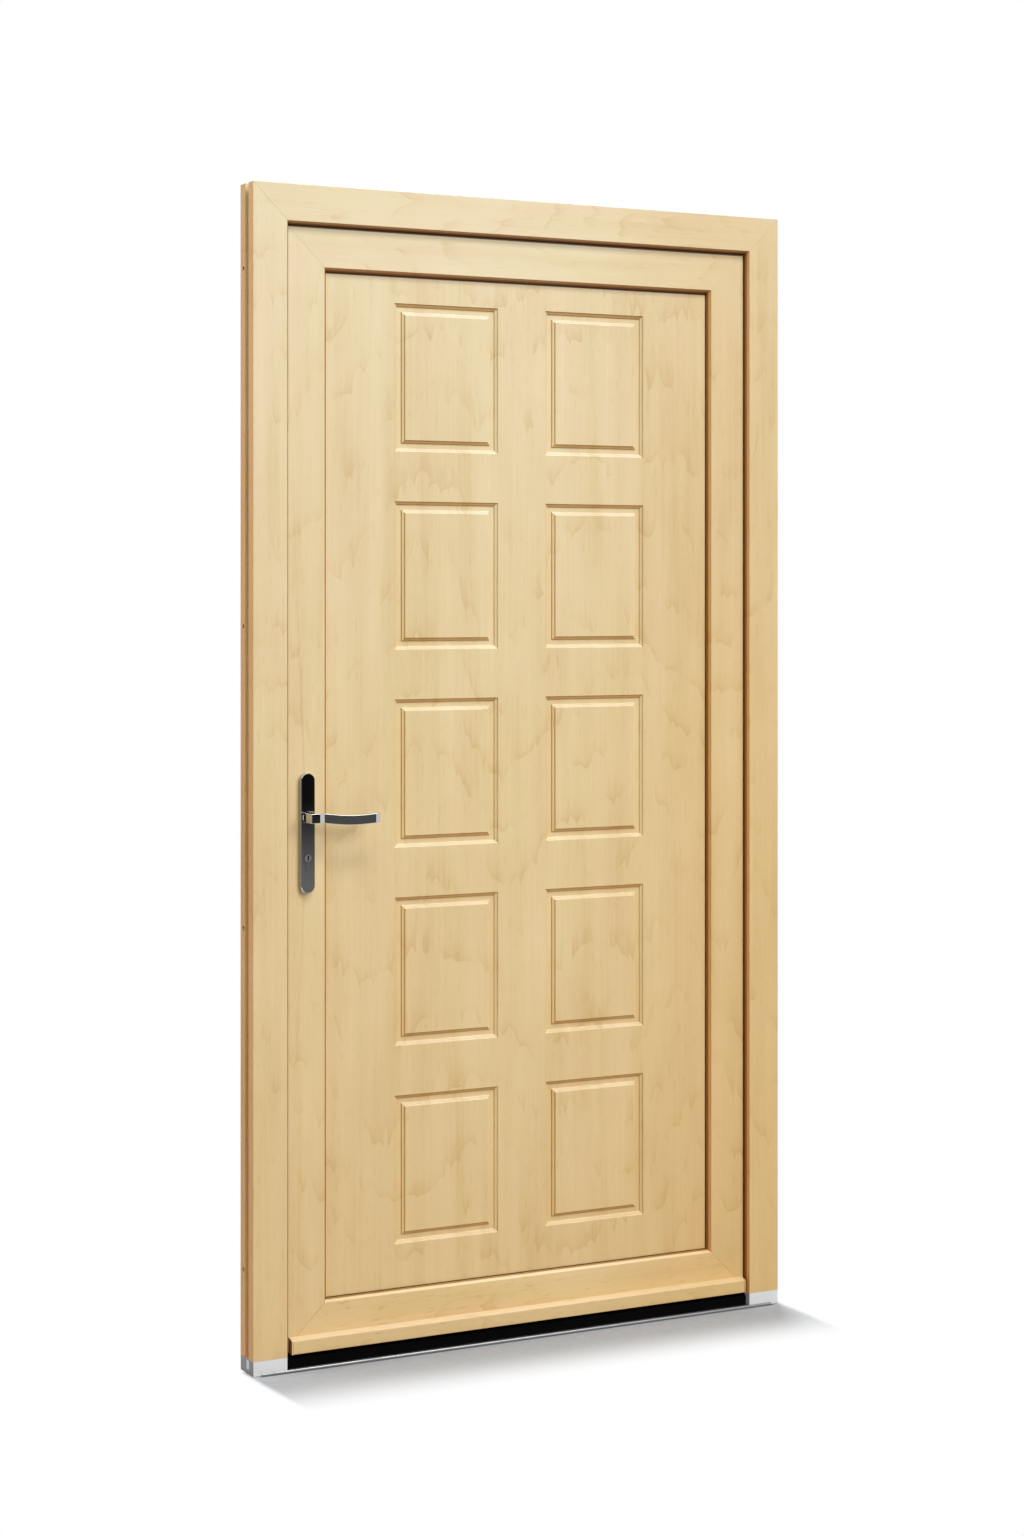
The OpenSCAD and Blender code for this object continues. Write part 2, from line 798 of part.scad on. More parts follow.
module hinge_frame_screws() {
    color("silver") seat() at_right()
        for (z = hinge_zs, s = [-1, 1], u = frame_screw_us)
            translate([u, frame_depth + frame_plate_t, z + s * hinge_screw_z]) rotate([-90, 0, 0])
                screw(screw_r, head_r, screw_l);
}

module hinge_pins() {
    color("silver") seat() at_right()
        for (z = hinge_zs) translate([hinge_u, hinge_v, z]) {
            translate([0, 0, -pin_half]) cylinder(h = pin_half + pin_half, r = pin_r);
            translate([0, 0, pin_half]) cylinder(h = pin_head_t, r = pin_head_r);
            translate([0, 0, -pin_half - pin_head_t]) cylinder(h = pin_head_t, r = pin_head_r);
        }
}

module leaf_side() {
    reach = leaf_open_rear;
    intersection() {
        upright(leaf_base, frame_h) leaf_section();
        side_wedge(reach, leaf_base, leaf_base + reach);
    }
}

// The outline of the profile cylinder, enlarged by the air around it
module cylinder_shape(air) {
    flag = cyl_flag_w + air + air;
    flag_r = flag * half_share;
    translate([lock_u - half_w, key_z]) circle(r = cyl_r + air);
    translate([lock_u - half_w - flag_r, key_z - cyl_flag_d + cyl_flag_w * half_share])
        square([flag, cyl_flag_d - cyl_flag_w * half_share]);
    translate([lock_u - half_w, key_z - cyl_flag_d + cyl_flag_w * half_share]) circle(r = flag_r);
}

module plate_screw_bores(r, v0, v1) {
    for (z = [plate_bottom + plate_screw_inset, plate_top - plate_screw_inset])
        at_left() bore_v(lock_u, z, r, v0, v1);
}

// What is cut out of the lock stile and its steel
module lock_cuts(air) {
    v_half = case_t * half_share + air;
    at_left() {
        block(seat_u, case_end + steel_air, lock_v - v_half, lock_v + v_half,
            case_bottom - air, case_top + air);
        for (z = [upper_z, lower_z])
            block(seat_u, case_u + side_case_w + air, lock_v - v_half, lock_v + v_half,
                z - side_case_h * half_share - air, z + side_case_h * half_share + air);
        bore_v(lock_u, lever_z, spindle_hole_r, leaf_front - overrun, leaf_rear + overrun);
    }
    plate_screw_bores(plate_screw_r + screw_air, leaf_front - overrun, leaf_rear + overrun);
    through(leaf_front - overrun, leaf_rear + overrun) cylinder_shape(air);
    faceplate_screw_bores();
}

function faceplate_screw_z(share) = faceplate_z + (faceplate_top - faceplate_z) * share;

module faceplate_screw_bores() {
    for (share = faceplate_screw_shares)
        at_left() bore_u(lock_v, faceplate_screw_z(share), screw_hole_r, leaf_edge, leaf_edge + screw_l);
}

module stile_lock() {
    color("wheat") seat() difference() {
        leaf_side();
        lock_cuts(slide_air);
    }
}

module stile_hinge() {
    color("wheat") seat() mirror([1, 0, 0]) difference() {
        leaf_side();
        hinge_leaf_screw_bores();
    }
}

module rail_top() {
    color("wheat") seat() intersection() {
        top_member(-half_w, half_w) leaf_section();
        top_wedge(leaf_open_rear);
    }
}

module rail_bottom() {
    color("wheat") seat() intersection() {
        bottom_member(-half_w, half_w) leaf_section();
        bottom_wedge(leaf_open_rear);
    }
}

module leaf_side_tube() {
    upright(leaf_base + leaf_inner + steel_short, frame_h - leaf_inner - steel_short) leaf_tube_section();
}

module stile_lock_steel() {
    color("silver") seat() difference() {
        leaf_side_tube();
        lock_cuts(steel_air + slide_air);
    }
}

module stile_hinge_steel() {
    color("silver") seat() mirror([1, 0, 0]) difference() {
        leaf_side_tube();
        hinge_leaf_screw_bores();
    }
}

module rail_top_steel() {
    color("silver") seat()
        top_member(leaf_inner + steel_short - half_w, half_w - leaf_inner - steel_short)
            leaf_tube_section();
}

module rail_bottom_steel() {
    color("silver") seat()
        bottom_member(leaf_inner + steel_short - half_w, half_w - leaf_inner - steel_short)
            leaf_tube_section();
}

// One side of a field's groove, steep at both edges, as distances from its middle and depths
function well_side(half) = [[half, -overrun], [half, 0],
    [half - field_edge_w, field_groove_d * steep_share],
    [half - field_slope_w + field_edge_w, field_groove_d - field_groove_d * steep_share],
    [half - field_slope_w, field_groove_d]];

// One side of a field's raised middle, steep at both edges
function crown_side(half) = [[half, field_groove_d + overrun], [half, field_groove_d],
    [half - field_edge_w, field_groove_d - field_groove_d * steep_share],
    [half - field_slope_w + field_edge_w, field_groove_d * steep_share],
    [half - field_slope_w, 0], [half - field_slope_w, -overrun - overrun]];

function flipped(points) = [for (i = [len(points) - 1 : -1 : 0]) [-points[i][0], points[i][1]]];

module well_outline(half) {
    polygon(concat(well_side(half), flipped(well_side(half))));
}

module crown_outline(half) {
    polygon(concat(crown_side(half), flipped(crown_side(half))));
}

// The sunk part of a raised field, open to the front
module field_well(w, h) {
    w2 = w * half_share;
    h2 = h * half_share;
    intersection() {
        translate([0, 0, -h2]) linear_extrude(h) well_outline(w2);
        across(-w2, w2) mirror([1, -1]) well_outline(h2);
    }
}

// The raised middle of a field
module field_crown(w, h) {
    w2 = w * half_share;
    h2 = h * half_share;
    intersection() {
        translate([0, 0, -h2]) linear_extrude(h) crown_outline(w2);
        across(-w2, w2) mirror([1, -1]) crown_outline(h2);
    }
}

module field_groove() {
    inner_cut = field_slope_w + field_floor_w;
    difference() {
        field_well(field_w, field_h);
        field_crown(field_w - inner_cut - inner_cut, field_h - inner_cut - inner_cut);
    }
}

module field_grooves() {
    for (i = [0 : field_cols - 1], j = [0 : field_rows - 1])
        translate([(i - (field_cols - 1) * half_share) * field_col_pitch, 0,
            field_mid_z + (j - (field_rows - 1) * half_share) * field_row_pitch])
            field_groove();
}

module infill_panel() {
    color("wheat") seat() difference() {
        through(panel_front, panel_rear) inset_rect(panel_edge, leaf_base + panel_edge);
        translate([0, panel_front, 0]) field_grooves();
        translate([0, panel_rear, 0]) mirror([0, 1, 0]) field_grooves();
    }
}

module bead_side() {
    intersection() {
        upright(leaf_base, frame_h) bead_section();
        side_wedge(leaf_open_rear, leaf_base, leaf_base + leaf_open_rear);
    }
}

module bead_left() {
    color("wheat") seat() bead_side();
}

module bead_right() {
    color("wheat") seat() mirror([1, 0, 0]) bead_side();
}

module bead_top() {
    color("wheat") seat() intersection() {
        top_member(-half_w, half_w) bead_section();
        top_wedge(leaf_open_rear);
    }
}

module bead_bottom() {
    color("wheat") seat() intersection() {
        bottom_member(-half_w, half_w) bead_section();
        bottom_wedge(leaf_open_rear);
    }
}

module panel_gasket(v0) {
    gasket_end = leaf_open_rear + gasket_show;
    leaf_ring(gasket_end - gasket_w, gasket_end, v0, v0 + gasket_t);
}

module panel_gasket_outer() {
    color("black") seat() panel_gasket(lip_rear);
}

module panel_gasket_inner() {
    color("black") seat() panel_gasket(panel_rear);
}

module panel_packers() {
    span = half_w - panel_edge;
    color("dimgrey") seat() {
        for (s = [-1, 1]) {
            x = s * span * (half_share + packer_share) - packer_l * half_share;
            translate([x, panel_front, leaf_base + leaf_inner]) cube([packer_l, panel_t, panel_air]);
            translate([x, panel_front, frame_h - panel_edge]) cube([packer_l, panel_t, panel_air]);
        }
        for (s = [0, 1], share = [packer_share, half_share + packer_share])
            mirror([s, 0, 0]) at_left()
                block(leaf_inner, panel_edge, panel_front, panel_rear, frame_h * share,
                    frame_h * share + packer_l);
    }
}

module leaf_seal() {
    color("black") seat()
        leaf_ring(lap_edge + seal_inset, lap_edge + seal_inset + seal_w, frame_depth + seal_air, lap_front);
}

// The weather bar's outline
module bar_outline() {
    bar_shoulder = bar_z + bar_front_h;
    translate([0, bar_z]) square([leaf_front, bar_front_h]);
    translate([bar_round, bar_shoulder]) circle(r = bar_round);
    polygon([[bar_round, bar_shoulder], [leaf_front, bar_shoulder], [leaf_front, bar_z + bar_h],
        [bar_round, bar_shoulder + bar_round]]);
}

module weather_bar() {
    bar_half = half_w - frame_face - bar_gap - bar_cap_t;
    color("wheat") seat() across(-bar_half, bar_half) difference() {
        bar_outline();
        translate([bar_t, bar_z + bar_t]) square([leaf_front - bar_t - bar_t, bar_front_h - bar_t]);
    }
}

module weather_bar_caps() {
    bar_half = half_w - frame_face - bar_gap;
    color("wheat") seat() {
        across(-bar_half, bar_cap_t - bar_half) bar_outline();
        across(bar_half - bar_cap_t, bar_half) bar_outline();
    }
}

module bottom_brush() {
    brush_half = half_w - leaf_inner;
    color("black") seat() across(-brush_half, brush_half) {
        translate([lock_v - brush_base_w * half_share, leaf_bottom + faceplate_t])
            square([brush_base_w, rod_groove_d]);
        translate([lock_v - brush_w * half_share, break_h + seal_air])
            square([brush_w, leaf_bottom + faceplate_t + rod_groove_d - break_h - seal_air]);
    }
}

module lock_faceplate() {
    bolt_half = bolt_h * half_share + slide_air;
    bolt_v = bolt_t * half_share + slide_air;
    latch_half = latch_h * half_share + slide_air;
    latch_v = latch_t * half_share + slide_air;
    color("silver") seat() difference() {
        at_left() block(leaf_edge, seat_u, lock_v - faceplate_w * half_share,
            lock_v + faceplate_w * half_share, faceplate_z, faceplate_top);
        at_left() for (z = bolt_zs)
            block(leaf_edge - overrun, seat_u + overrun, lock_v - bolt_v, lock_v + bolt_v,
                z - bolt_half, z + bolt_half);
        at_left() block(leaf_edge - overrun, seat_u + overrun, lock_v - latch_v, lock_v + latch_v,
            latch_z - latch_half, latch_z + latch_half);
        faceplate_screw_set(screw_hole_r, head_r + screw_air);
    }
}

module faceplate_screw_set(r, rh) {
    for (share = faceplate_screw_shares)
        at_left() translate([leaf_edge, lock_v, faceplate_screw_z(share)]) rotate([0, -90, 0])
            screw(r, rh, screw_l);
}

module faceplate_screws() {
    color("silver") seat() faceplate_screw_set(screw_r, head_r);
}

// An open-fronted case for a bolt
module bolt_box(u1, z0, z1) {
    v_half = case_t * half_share;
    difference() {
        block(case_u, u1, lock_v - v_half, lock_v + v_half, z0, z1);
        block(case_u + case_wall, u1 - case_wall, lock_v - v_half + case_wall,
            lock_v + v_half - case_wall, z0 + case_wall, z1 - case_wall);
    }
}

module bolt_doors() {
    bolt_half = bolt_h * half_share + slide_air;
    bolt_v = bolt_t * half_share + slide_air;
    at_left() for (z = bolt_zs)
        block(case_u - overrun, case_u + case_wall + overrun, lock_v - bolt_v, lock_v + bolt_v,
            z - bolt_half, z + bolt_half);
}

module lock_case() {
    latch_half = latch_h * half_share + slide_air;
    latch_v = latch_t * half_share + slide_air;
    v_half = case_t * half_share + overrun;
    color("silver") seat() difference() {
        at_left() bolt_box(case_end, case_bottom, case_top);
        bolt_doors();
        at_left() block(case_u - overrun, case_u + case_wall + overrun, lock_v - latch_v, lock_v + latch_v,
            latch_z - latch_half, latch_z + latch_half);
        at_left() bore_v(lock_u, lever_z, spindle_hole_r, lock_v - v_half, lock_v + v_half);
        through(lock_v - v_half, lock_v + v_half) cylinder_shape(slide_air);
    }
}

module side_bolt_cases() {
    color("silver") seat() difference() {
        at_left() for (z = [upper_z, lower_z])
            bolt_box(case_u + side_case_w, z - side_case_h * half_share, z + side_case_h * half_share);
        bolt_doors();
    }
}

module plate_outline(cut) {
    for (z = [plate_bottom + plate_r, plate_top - plate_r])
        translate([lock_u - half_w, z]) circle(r = plate_r - cut);
    translate([lock_u - half_w - plate_r + cut, plate_bottom + plate_r])
        square([plate_w - cut - cut, plate_l - plate_w]);
}

// A handle plate with its face at the front and sloping edges
module plate_body() {
    hull() {
        through(plate_front + plate_chamfer, leaf_front) plate_outline(0);
        through(plate_front, leaf_front) plate_outline(plate_chamfer);
    }
}

module plate_outside() {
    color("dimgrey") seat() difference() {
        plate_body();
        at_left() bore_v(lock_u, lever_z, collar_r + run_air, plate_front - overrun, leaf_front + overrun);
        through(plate_front - overrun, leaf_front + overrun) cylinder_shape(slide_air);
        plate_screw_bores(plate_screw_r + screw_air, leaf_front - plate_screw_in - overrun,
            leaf_front + overrun);
    }
}

module to_inside() {
    translate([0, mid_leaf_v + mid_leaf_v, 0]) mirror([0, 1, 0]) children();
}

module plate_screw_set(r, rh) {
    for (z = [plate_bottom + plate_screw_inset, plate_top - plate_screw_inset])
        at_left() translate([lock_u, plate_rear, z]) rotate([-90, 0, 0])
            screw(r, rh, plate_rear - leaf_front + plate_screw_in);
}

module plate_inside() {
    color("dimgrey") seat() difference() {
        to_inside() difference() {
            plate_body();
            at_left() bore_v(lock_u, lever_z, collar_r + run_air, plate_front - overrun,
                leaf_front + overrun);
        }
        through(leaf_rear - overrun, plate_rear + overrun) cylinder_shape(slide_air);
        plate_screw_set(plate_screw_r + screw_air, head_r + screw_air);
    }
}

module plate_screws() {
    color("silver") seat() plate_screw_set(plate_screw_r, head_r);
}

module cylinder_body() {
    color("goldenrod") seat() difference() {
        through(cyl_front, cyl_rear) cylinder_shape(0);
        at_left() bore_v(lock_u, key_z, plug_r + run_air, cyl_front - overrun, cyl_rear + overrun);
        at_left() bore_v(lock_u, key_z, cam_r + slide_air, plug_split - slide_air,
            plug_split_rear + slide_air);
    }
}

// A lever seen from above, measured from its axis and out from the plate's face
module lever_plan() {
    inner = lever_out - grip_t;
    bend_x = bend_r - grip_r;
    bend_run = lever_mid - bend_x;
    bend_y = lever_out - bow_r + sqrt(bow_r * bow_r - bend_run * bend_run) - bend_r;
    intersection() {
        union() {
            translate([-grip_r, slide_air]) square([grip_r + grip_r, inner - slide_air]);
            difference() {
                translate([lever_mid, lever_out - bow_r]) circle(r = bow_r);
                translate([lever_mid, lever_out - bow_r]) circle(r = bow_r - grip_t);
                translate([-bow_r - grip_r, -bow_r]) square([bow_r, bow_r + bow_r]);
                translate([lever_l, -bow_r]) square([bow_r, bow_r + bow_r]);
                translate([-bow_r, -bow_r - bow_r]) square([bow_r + bow_r, bow_r + bow_r]);
            }
        }
        union() {
            translate([bend_x, slide_air]) square([lever_l, lever_out]);
            translate([bend_x, bend_y]) circle(r = bend_r);
            translate([-grip_r, slide_air]) square([bend_r, bend_y - slide_air]);
        }
    }
}

module lever_body() {
    difference() {
        union() {
            translate([lock_u - half_w, plate_front, lever_z - grip_r]) mirror([0, 1, 0])
                linear_extrude(grip_r + grip_r) lever_plan();
            at_left() bore_v(lock_u, lever_z, collar_r, plate_front - collar_gap, leaf_front - collar_gap);
        }
        at_left() spindle_block(run_air, leaf_front - spindle_in, leaf_front);
    }
}

module spindle_block(air, v0, v1) {
    w2 = spindle_w * half_share + air;
    block(lock_u - w2, lock_u + w2, v0, v1, lever_z - w2, lever_z + w2);
}

module lever_outside() {
    color("dimgrey") seat() lever_body();
}

module lever_inside() {
    color("dimgrey") seat() to_inside() lever_body();
}

module handle_spindle() {
    color("silver") seat() at_left()
        spindle_block(0, leaf_front - spindle_in + slide_air, leaf_rear + spindle_in - slide_air);
}

module lock_follower() {
    v_half = case_t * half_share - case_wall - slide_air;
    color("silver") seat() at_left() difference() {
        bore_v(lock_u, lever_z, follower_r, lock_v - v_half, lock_v + v_half);
        spindle_block(run_air, lock_v - v_half - overrun, lock_v + v_half + overrun);
    }
}

module latch_bolt() {
    v_half = latch_t * half_share;
    color("silver") seat() at_left() translate([0, 0, latch_z - latch_h * half_share]) linear_extrude(latch_h)
        polygon([[latch_u, lock_v - v_half], [latch_u + latch_l, lock_v - v_half],
            [latch_u + latch_l, lock_v + v_half], [latch_u + latch_out, lock_v + v_half],
            [latch_u, lock_v - v_half * half_share]]);
}

module bolt_at(z) {
    v_half = bolt_t * half_share;
    at_left() block(bolt_u, bolt_u + bolt_l, lock_v - v_half, lock_v + v_half,
        z - bolt_h * half_share, z + bolt_h * half_share);
}

module deadbolt() {
    color("silver") seat() bolt_at(key_z);
}

module side_bolts() {
    color("silver") seat() {
        bolt_at(upper_z);
        bolt_at(lower_z);
    }
}

// A flat drive rod behind the faceplate with slots for the faceplate's screws
module rod(z0, z1) {
    slot = rod_travel + screw_r + screw_r + overrun;
    difference() {
        at_left() block(seat_u + slide_air, seat_u + slide_air + rod_t, lock_v - rod_w * half_share,
            lock_v + rod_w * half_share, z0, z1);
        for (share = faceplate_screw_shares)
            at_left() block(seat_u, seat_u + rod_t + overrun, lock_v - screw_r - overrun,
                lock_v + screw_r + overrun, faceplate_screw_z(share) - slot, faceplate_screw_z(share) + slot);
    }
}

module drive_rod_upper() {
    color("silver") seat()
        rod(latch_z + latch_h * half_share + rod_travel,
            upper_z - bolt_h * half_share - rod_travel - overrun);
}

module drive_rod_lower() {
    color("silver") seat()
        rod(lower_z + bolt_h * half_share + rod_travel + overrun,
            key_z - bolt_h * half_share - rod_travel);
}

module keyway(v0, v1) {
    at_left() block(lock_u - keyway_w * half_share, lock_u + keyway_w * half_share, v0, v1,
        key_z - keyway_h * half_share, key_z + keyway_h * half_share);
}

module plug_outside() {
    color("goldenrod") seat() difference() {
        at_left() bore_v(lock_u, key_z, plug_r, cyl_front, plug_split);
        keyway(cyl_front - overrun, cyl_front + keyway_d);
    }
}

module cylinder_cam() {
    color("goldenrod") seat() at_left() intersection() {
        union() {
            bore_v(lock_u, key_z, plug_r, plug_split, plug_split_rear);
            block(lock_u - cam_nose_w * half_share, lock_u + cam_nose_w * half_share, plug_split,
                plug_split_rear, key_z, key_z + cam_r);
        }
        bore_v(lock_u, key_z, cam_r, plug_split, plug_split_rear);
    }
}

module plug_inside() {
    color("goldenrod") seat() difference() {
        at_left() bore_v(lock_u, key_z, plug_r, plug_split_rear, cyl_rear);
        keyway(cyl_rear - keyway_d, cyl_rear + overrun);
    }
}

// The part of a hinge that is fixed to the leaf, seen from the right side
module hinge_leaf_half() {
    difference() {
        union() {
            translate([hinge_u, hinge_v, -leaf_knuckle_half])
                cylinder(h = leaf_knuckle_half + leaf_knuckle_half, r = barrel_r);
            block(hinge_u, hinge_u + leaf_plate_end, leaf_rear, leaf_rear + leaf_plate_t,
                -leaf_knuckle_half, leaf_knuckle_half);
            block(hinge_u + leaf_plate_start, hinge_u + leaf_plate_end, leaf_rear, leaf_rear + leaf_plate_t,
                -hinge_half_l, hinge_half_l);
        }
        translate([hinge_u, hinge_v, -hinge_half_l]) cylinder(h = hinge_l, r = pin_r + run_air);
        for (s = [-1, 1], u = leaf_screw_us)
            translate([u, leaf_rear + leaf_plate_t, s * hinge_screw_z]) rotate([-90, 0, 0])
                screw(screw_hole_r, head_r + screw_air, screw_l);
    }
}

module hinge_leaf_halves() {
    color("silver") seat() at_right()
        for (z = hinge_zs) translate([0, 0, z]) hinge_leaf_half();
}

module hinge_leaf_screws() {
    color("silver") seat() at_right()
        for (z = hinge_zs, s = [-1, 1], u = leaf_screw_us)
            translate([u, leaf_rear + leaf_plate_t, z + s * hinge_screw_z]) rotate([-90, 0, 0])
                screw(screw_r, head_r, screw_l);
}

jamb_left();
jamb_right();
head();
jamb_left_steel();
jamb_right_steel();
head_steel();
threshold_sill();
threshold_break();
threshold_inner();
threshold_block_left();
threshold_block_right();
frame_seal();
keep_main();
side_keeps();
keep_screws();
hinge_frame_halves();
hinge_frame_screws();
hinge_pins();
stile_lock();
stile_hinge();
rail_top();
rail_bottom();
stile_lock_steel();
stile_hinge_steel();
rail_top_steel();
rail_bottom_steel();
infill_panel();
bead_left();
bead_right();
bead_top();
bead_bottom();
panel_gasket_outer();
panel_gasket_inner();
panel_packers();
leaf_seal();
weather_bar();
weather_bar_caps();
bottom_brush();
lock_faceplate();
faceplate_screws();
lock_case();
side_bolt_cases();
plate_outside();
plate_inside();
cylinder_body();
plate_screws();
hinge_leaf_halves();
hinge_leaf_screws();
lever_outside();
lever_inside();
handle_spindle();
lock_follower();
latch_bolt();
deadbolt();
side_bolts();
drive_rod_upper();
drive_rod_lower();
plug_outside();
cylinder_cam();
plug_inside();
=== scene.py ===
"""Looks of the panelled front door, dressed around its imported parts."""

import logging
import math
from dataclasses import dataclass, replace
from enum import Enum

import bmesh
import bpy
from mathutils import Matrix, Vector


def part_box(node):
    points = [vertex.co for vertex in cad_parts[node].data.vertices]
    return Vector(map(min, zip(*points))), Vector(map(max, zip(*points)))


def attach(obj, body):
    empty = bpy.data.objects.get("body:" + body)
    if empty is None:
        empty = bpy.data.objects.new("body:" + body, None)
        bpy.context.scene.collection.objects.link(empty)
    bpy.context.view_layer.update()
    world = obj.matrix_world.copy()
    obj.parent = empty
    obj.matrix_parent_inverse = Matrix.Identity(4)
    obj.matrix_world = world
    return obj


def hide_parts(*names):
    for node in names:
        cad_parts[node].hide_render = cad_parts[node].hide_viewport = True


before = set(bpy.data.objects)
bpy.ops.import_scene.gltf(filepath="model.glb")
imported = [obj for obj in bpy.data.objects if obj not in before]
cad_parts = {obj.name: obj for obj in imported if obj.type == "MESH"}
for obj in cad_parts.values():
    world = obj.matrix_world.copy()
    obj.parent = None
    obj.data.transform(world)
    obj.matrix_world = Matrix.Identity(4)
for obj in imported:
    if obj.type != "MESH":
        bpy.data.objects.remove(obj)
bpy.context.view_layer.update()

LOG = logging.getLogger("front_door")

Colour = tuple[float, float, float]
Point = tuple[float, float, float]
Span = tuple[float, float]
Socket = bpy.types.NodeSocket
Material = bpy.types.Material
Mesh = bmesh.types.BMesh
Face = bmesh.types.BMFace

WHITE: Colour = (1.0, 1.0, 1.0)
HALF = 0.5
QUARTER_TURN = math.radians(90.0)

# Distances in metres below which corners are joined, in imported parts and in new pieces
WELD_DISTANCE = 0.00001
MERGE_DISTANCE = 0.000005

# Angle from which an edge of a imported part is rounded
SHARP_ANGLE = math.radians(35.0)

# Heights in metres of the lower edges of the frame's seal and the panel's gasket, at the top; the
# painted shadows below the upper lips reach up to them
HEAD_SEAL_FOOT = 2.0293
RAIL_GASKET_FOOT = 1.9504


class Grain(Enum):
    """Direction that the wood figure of a member runs in."""

    UPRIGHT = "upright"
    LYING = "lying"


class Turn(Enum):
    """Side of the leaf that a lever is on, as the direction it stands out in."""

    OUTSIDE = -1.0
    INSIDE = 1.0


def opaque(colour: Colour) -> tuple[float, float, float, float]:
    """Return a colour with full alpha."""
    return (*colour, 1.0)


class Wiring:
    """Nodes of one material, with short ways to add and join them."""

    def __init__(self, name: str) -> None:
        """Start a material with its surface shader.

        Args:
            name: Name of the material.
        """
        self.material = bpy.data.materials.new(name)
        self.material.use_nodes = True
        self.tree = self.material.node_tree
        self.tree.nodes.clear()
        self.output = self.tree.nodes.new("ShaderNodeOutputMaterial")
        self.shader = self.tree.nodes.new("ShaderNodeBsdfPrincipled")
        self.join(self.shader.outputs["BSDF"], self.output.inputs["Surface"])

    def add(self, kind: str, **settings: object) -> bpy.types.Node:
        """Add a node.

        Args:
            kind: Node type without its common first word.
            settings: Properties of the node.

        Returns:
            The new node.
        """
        node = self.tree.nodes.new("ShaderNode" + kind)
        for key, value in settings.items():
            setattr(node, key, value)
        return node

    def join(self, start: Socket, end: Socket) -> None:
        """Link two sockets."""
        self.tree.links.new(start, end)

    def feed(self, socket: Socket, value: Socket | float) -> None:
        """Link a socket to another, or set its number.

        Args:
            socket: The input to feed.
            value: An output socket or a number.
        """
        if isinstance(value, (int, float)):
            socket.default_value = value
        else:
            self.join(value, socket)

    def calculate(self, operation: str, first: Socket | float, second: Socket | float = 0.0,
                  clamp: bool = False) -> Socket:
        """Add one arithmetic step.

        Args:
            operation: Name of the step.
            first: First value.
            second: Second value.
            clamp: Whether the result stays between zero and one.

        Returns:
            The result's socket.
        """
        node = self.add("Math", operation=operation, use_clamp=clamp)
        self.feed(node.inputs[0], first)
        self.feed(node.inputs[1], second)
        return node.outputs[0]

    def plus(self, first: Socket | float, second: Socket | float) -> Socket:
        """Add two values."""
        return self.calculate("ADD", first, second)

    def minus(self, first: Socket | float, second: Socket | float) -> Socket:
        """Take the second value from the first."""
        return self.calculate("SUBTRACT", first, second)

    def times(self, first: Socket | float, second: Socket | float) -> Socket:
        """Multiply two values."""
        return self.calculate("MULTIPLY", first, second)

    def larger(self, first: Socket | float, second: Socket | float) -> Socket:
        """Keep the larger of two values."""
        return self.calculate("MAXIMUM", first, second)

    def size(self, value: Socket) -> Socket:
        """Drop the sign of a value."""
        return self.calculate("ABSOLUTE", value)

    def coordinates(self, kind: str) -> tuple[Socket, Socket, Socket]:
        """Split one kind of the piece's own coordinates.

        Args:
            kind: Name of the coordinates.

        Returns:
            Their x, y and z.
        """
        source = self.add("TexCoord")
        parts = self.add("SeparateXYZ")
        self.join(source.outputs[kind], parts.inputs[0])
        return parts.outputs[0], parts.outputs[1], parts.outputs[2]

    def place(self) -> tuple[Socket, Socket, Socket]:
        """Return the piece's own x, y and z."""
        return self.coordinates("Object")

    def facing(self) -> tuple[Socket, Socket, Socket]:
        """Return the x, y and z of the piece's own surface direction."""
        return self.coordinates("Normal")

    def vector(self, x: Socket | float, y: Socket | float, z: Socket | float) -> Socket:
        """Join three values to a vector.

        Args:
            x: First value.
            y: Second value.
            z: Third value.

        Returns:
            The vector's socket.
        """
        node = self.add("CombineXYZ")
        for socket, value in zip(node.inputs, (x, y, z)):
            self.feed(socket, value)
        return node.outputs[0]

    def noise(self, where: Socket, scale: float, detail: float = 3.0, rough: float = 0.5) -> Socket:
        """Add a soft random pattern.

        Args:
            where: Coordinates of the pattern.
            scale: How fine it is.
            detail: How many finer layers it has.
            rough: Strength of the finer layers.

        Returns:
            The pattern's value, about one half on average.
        """
        node = self.add("TexNoise", noise_dimensions="3D")
        self.join(where, node.inputs["Vector"])
        node.inputs["Scale"].default_value = scale
        node.inputs["Detail"].default_value = detail
        node.inputs["Roughness"].default_value = rough
        return node.outputs["Fac"]

    def between(self, value: Socket, span: Span, result: Span = (0.0, 1.0)) -> Socket:
        """Carry a span of values smoothly over to another span.

        Args:
            value: The value to carry over.
            span: Start and end of the first span.
            result: Results at the start and at the end.

        Returns:
            The result's socket.
        """
        node = self.add("MapRange", interpolation_type="SMOOTHSTEP", clamp=True)
        self.join(value, node.inputs["Value"])
        for name, number in zip(("From Min", "From Max", "To Min", "To Max"), (*span, *result)):
            node.inputs[name].default_value = number
        return node.outputs["Result"]

    def ramp(self, value: Socket, stops: list[tuple[float, Colour]]) -> Socket:
        """Turn a value into a colour.

        Args:
            value: The value to turn.
            stops: Places and colours along the ramp.

        Returns:
            The colour's socket.
        """
        node = self.add("ValToRGB")
        elements = node.color_ramp.elements
        while len(elements) < len(stops):
            elements.new(HALF)
        for element, (place, colour) in zip(elements, stops):
            element.position = place
            element.color = opaque(colour)
        self.join(value, node.inputs[0])
        return node.outputs["Color"]

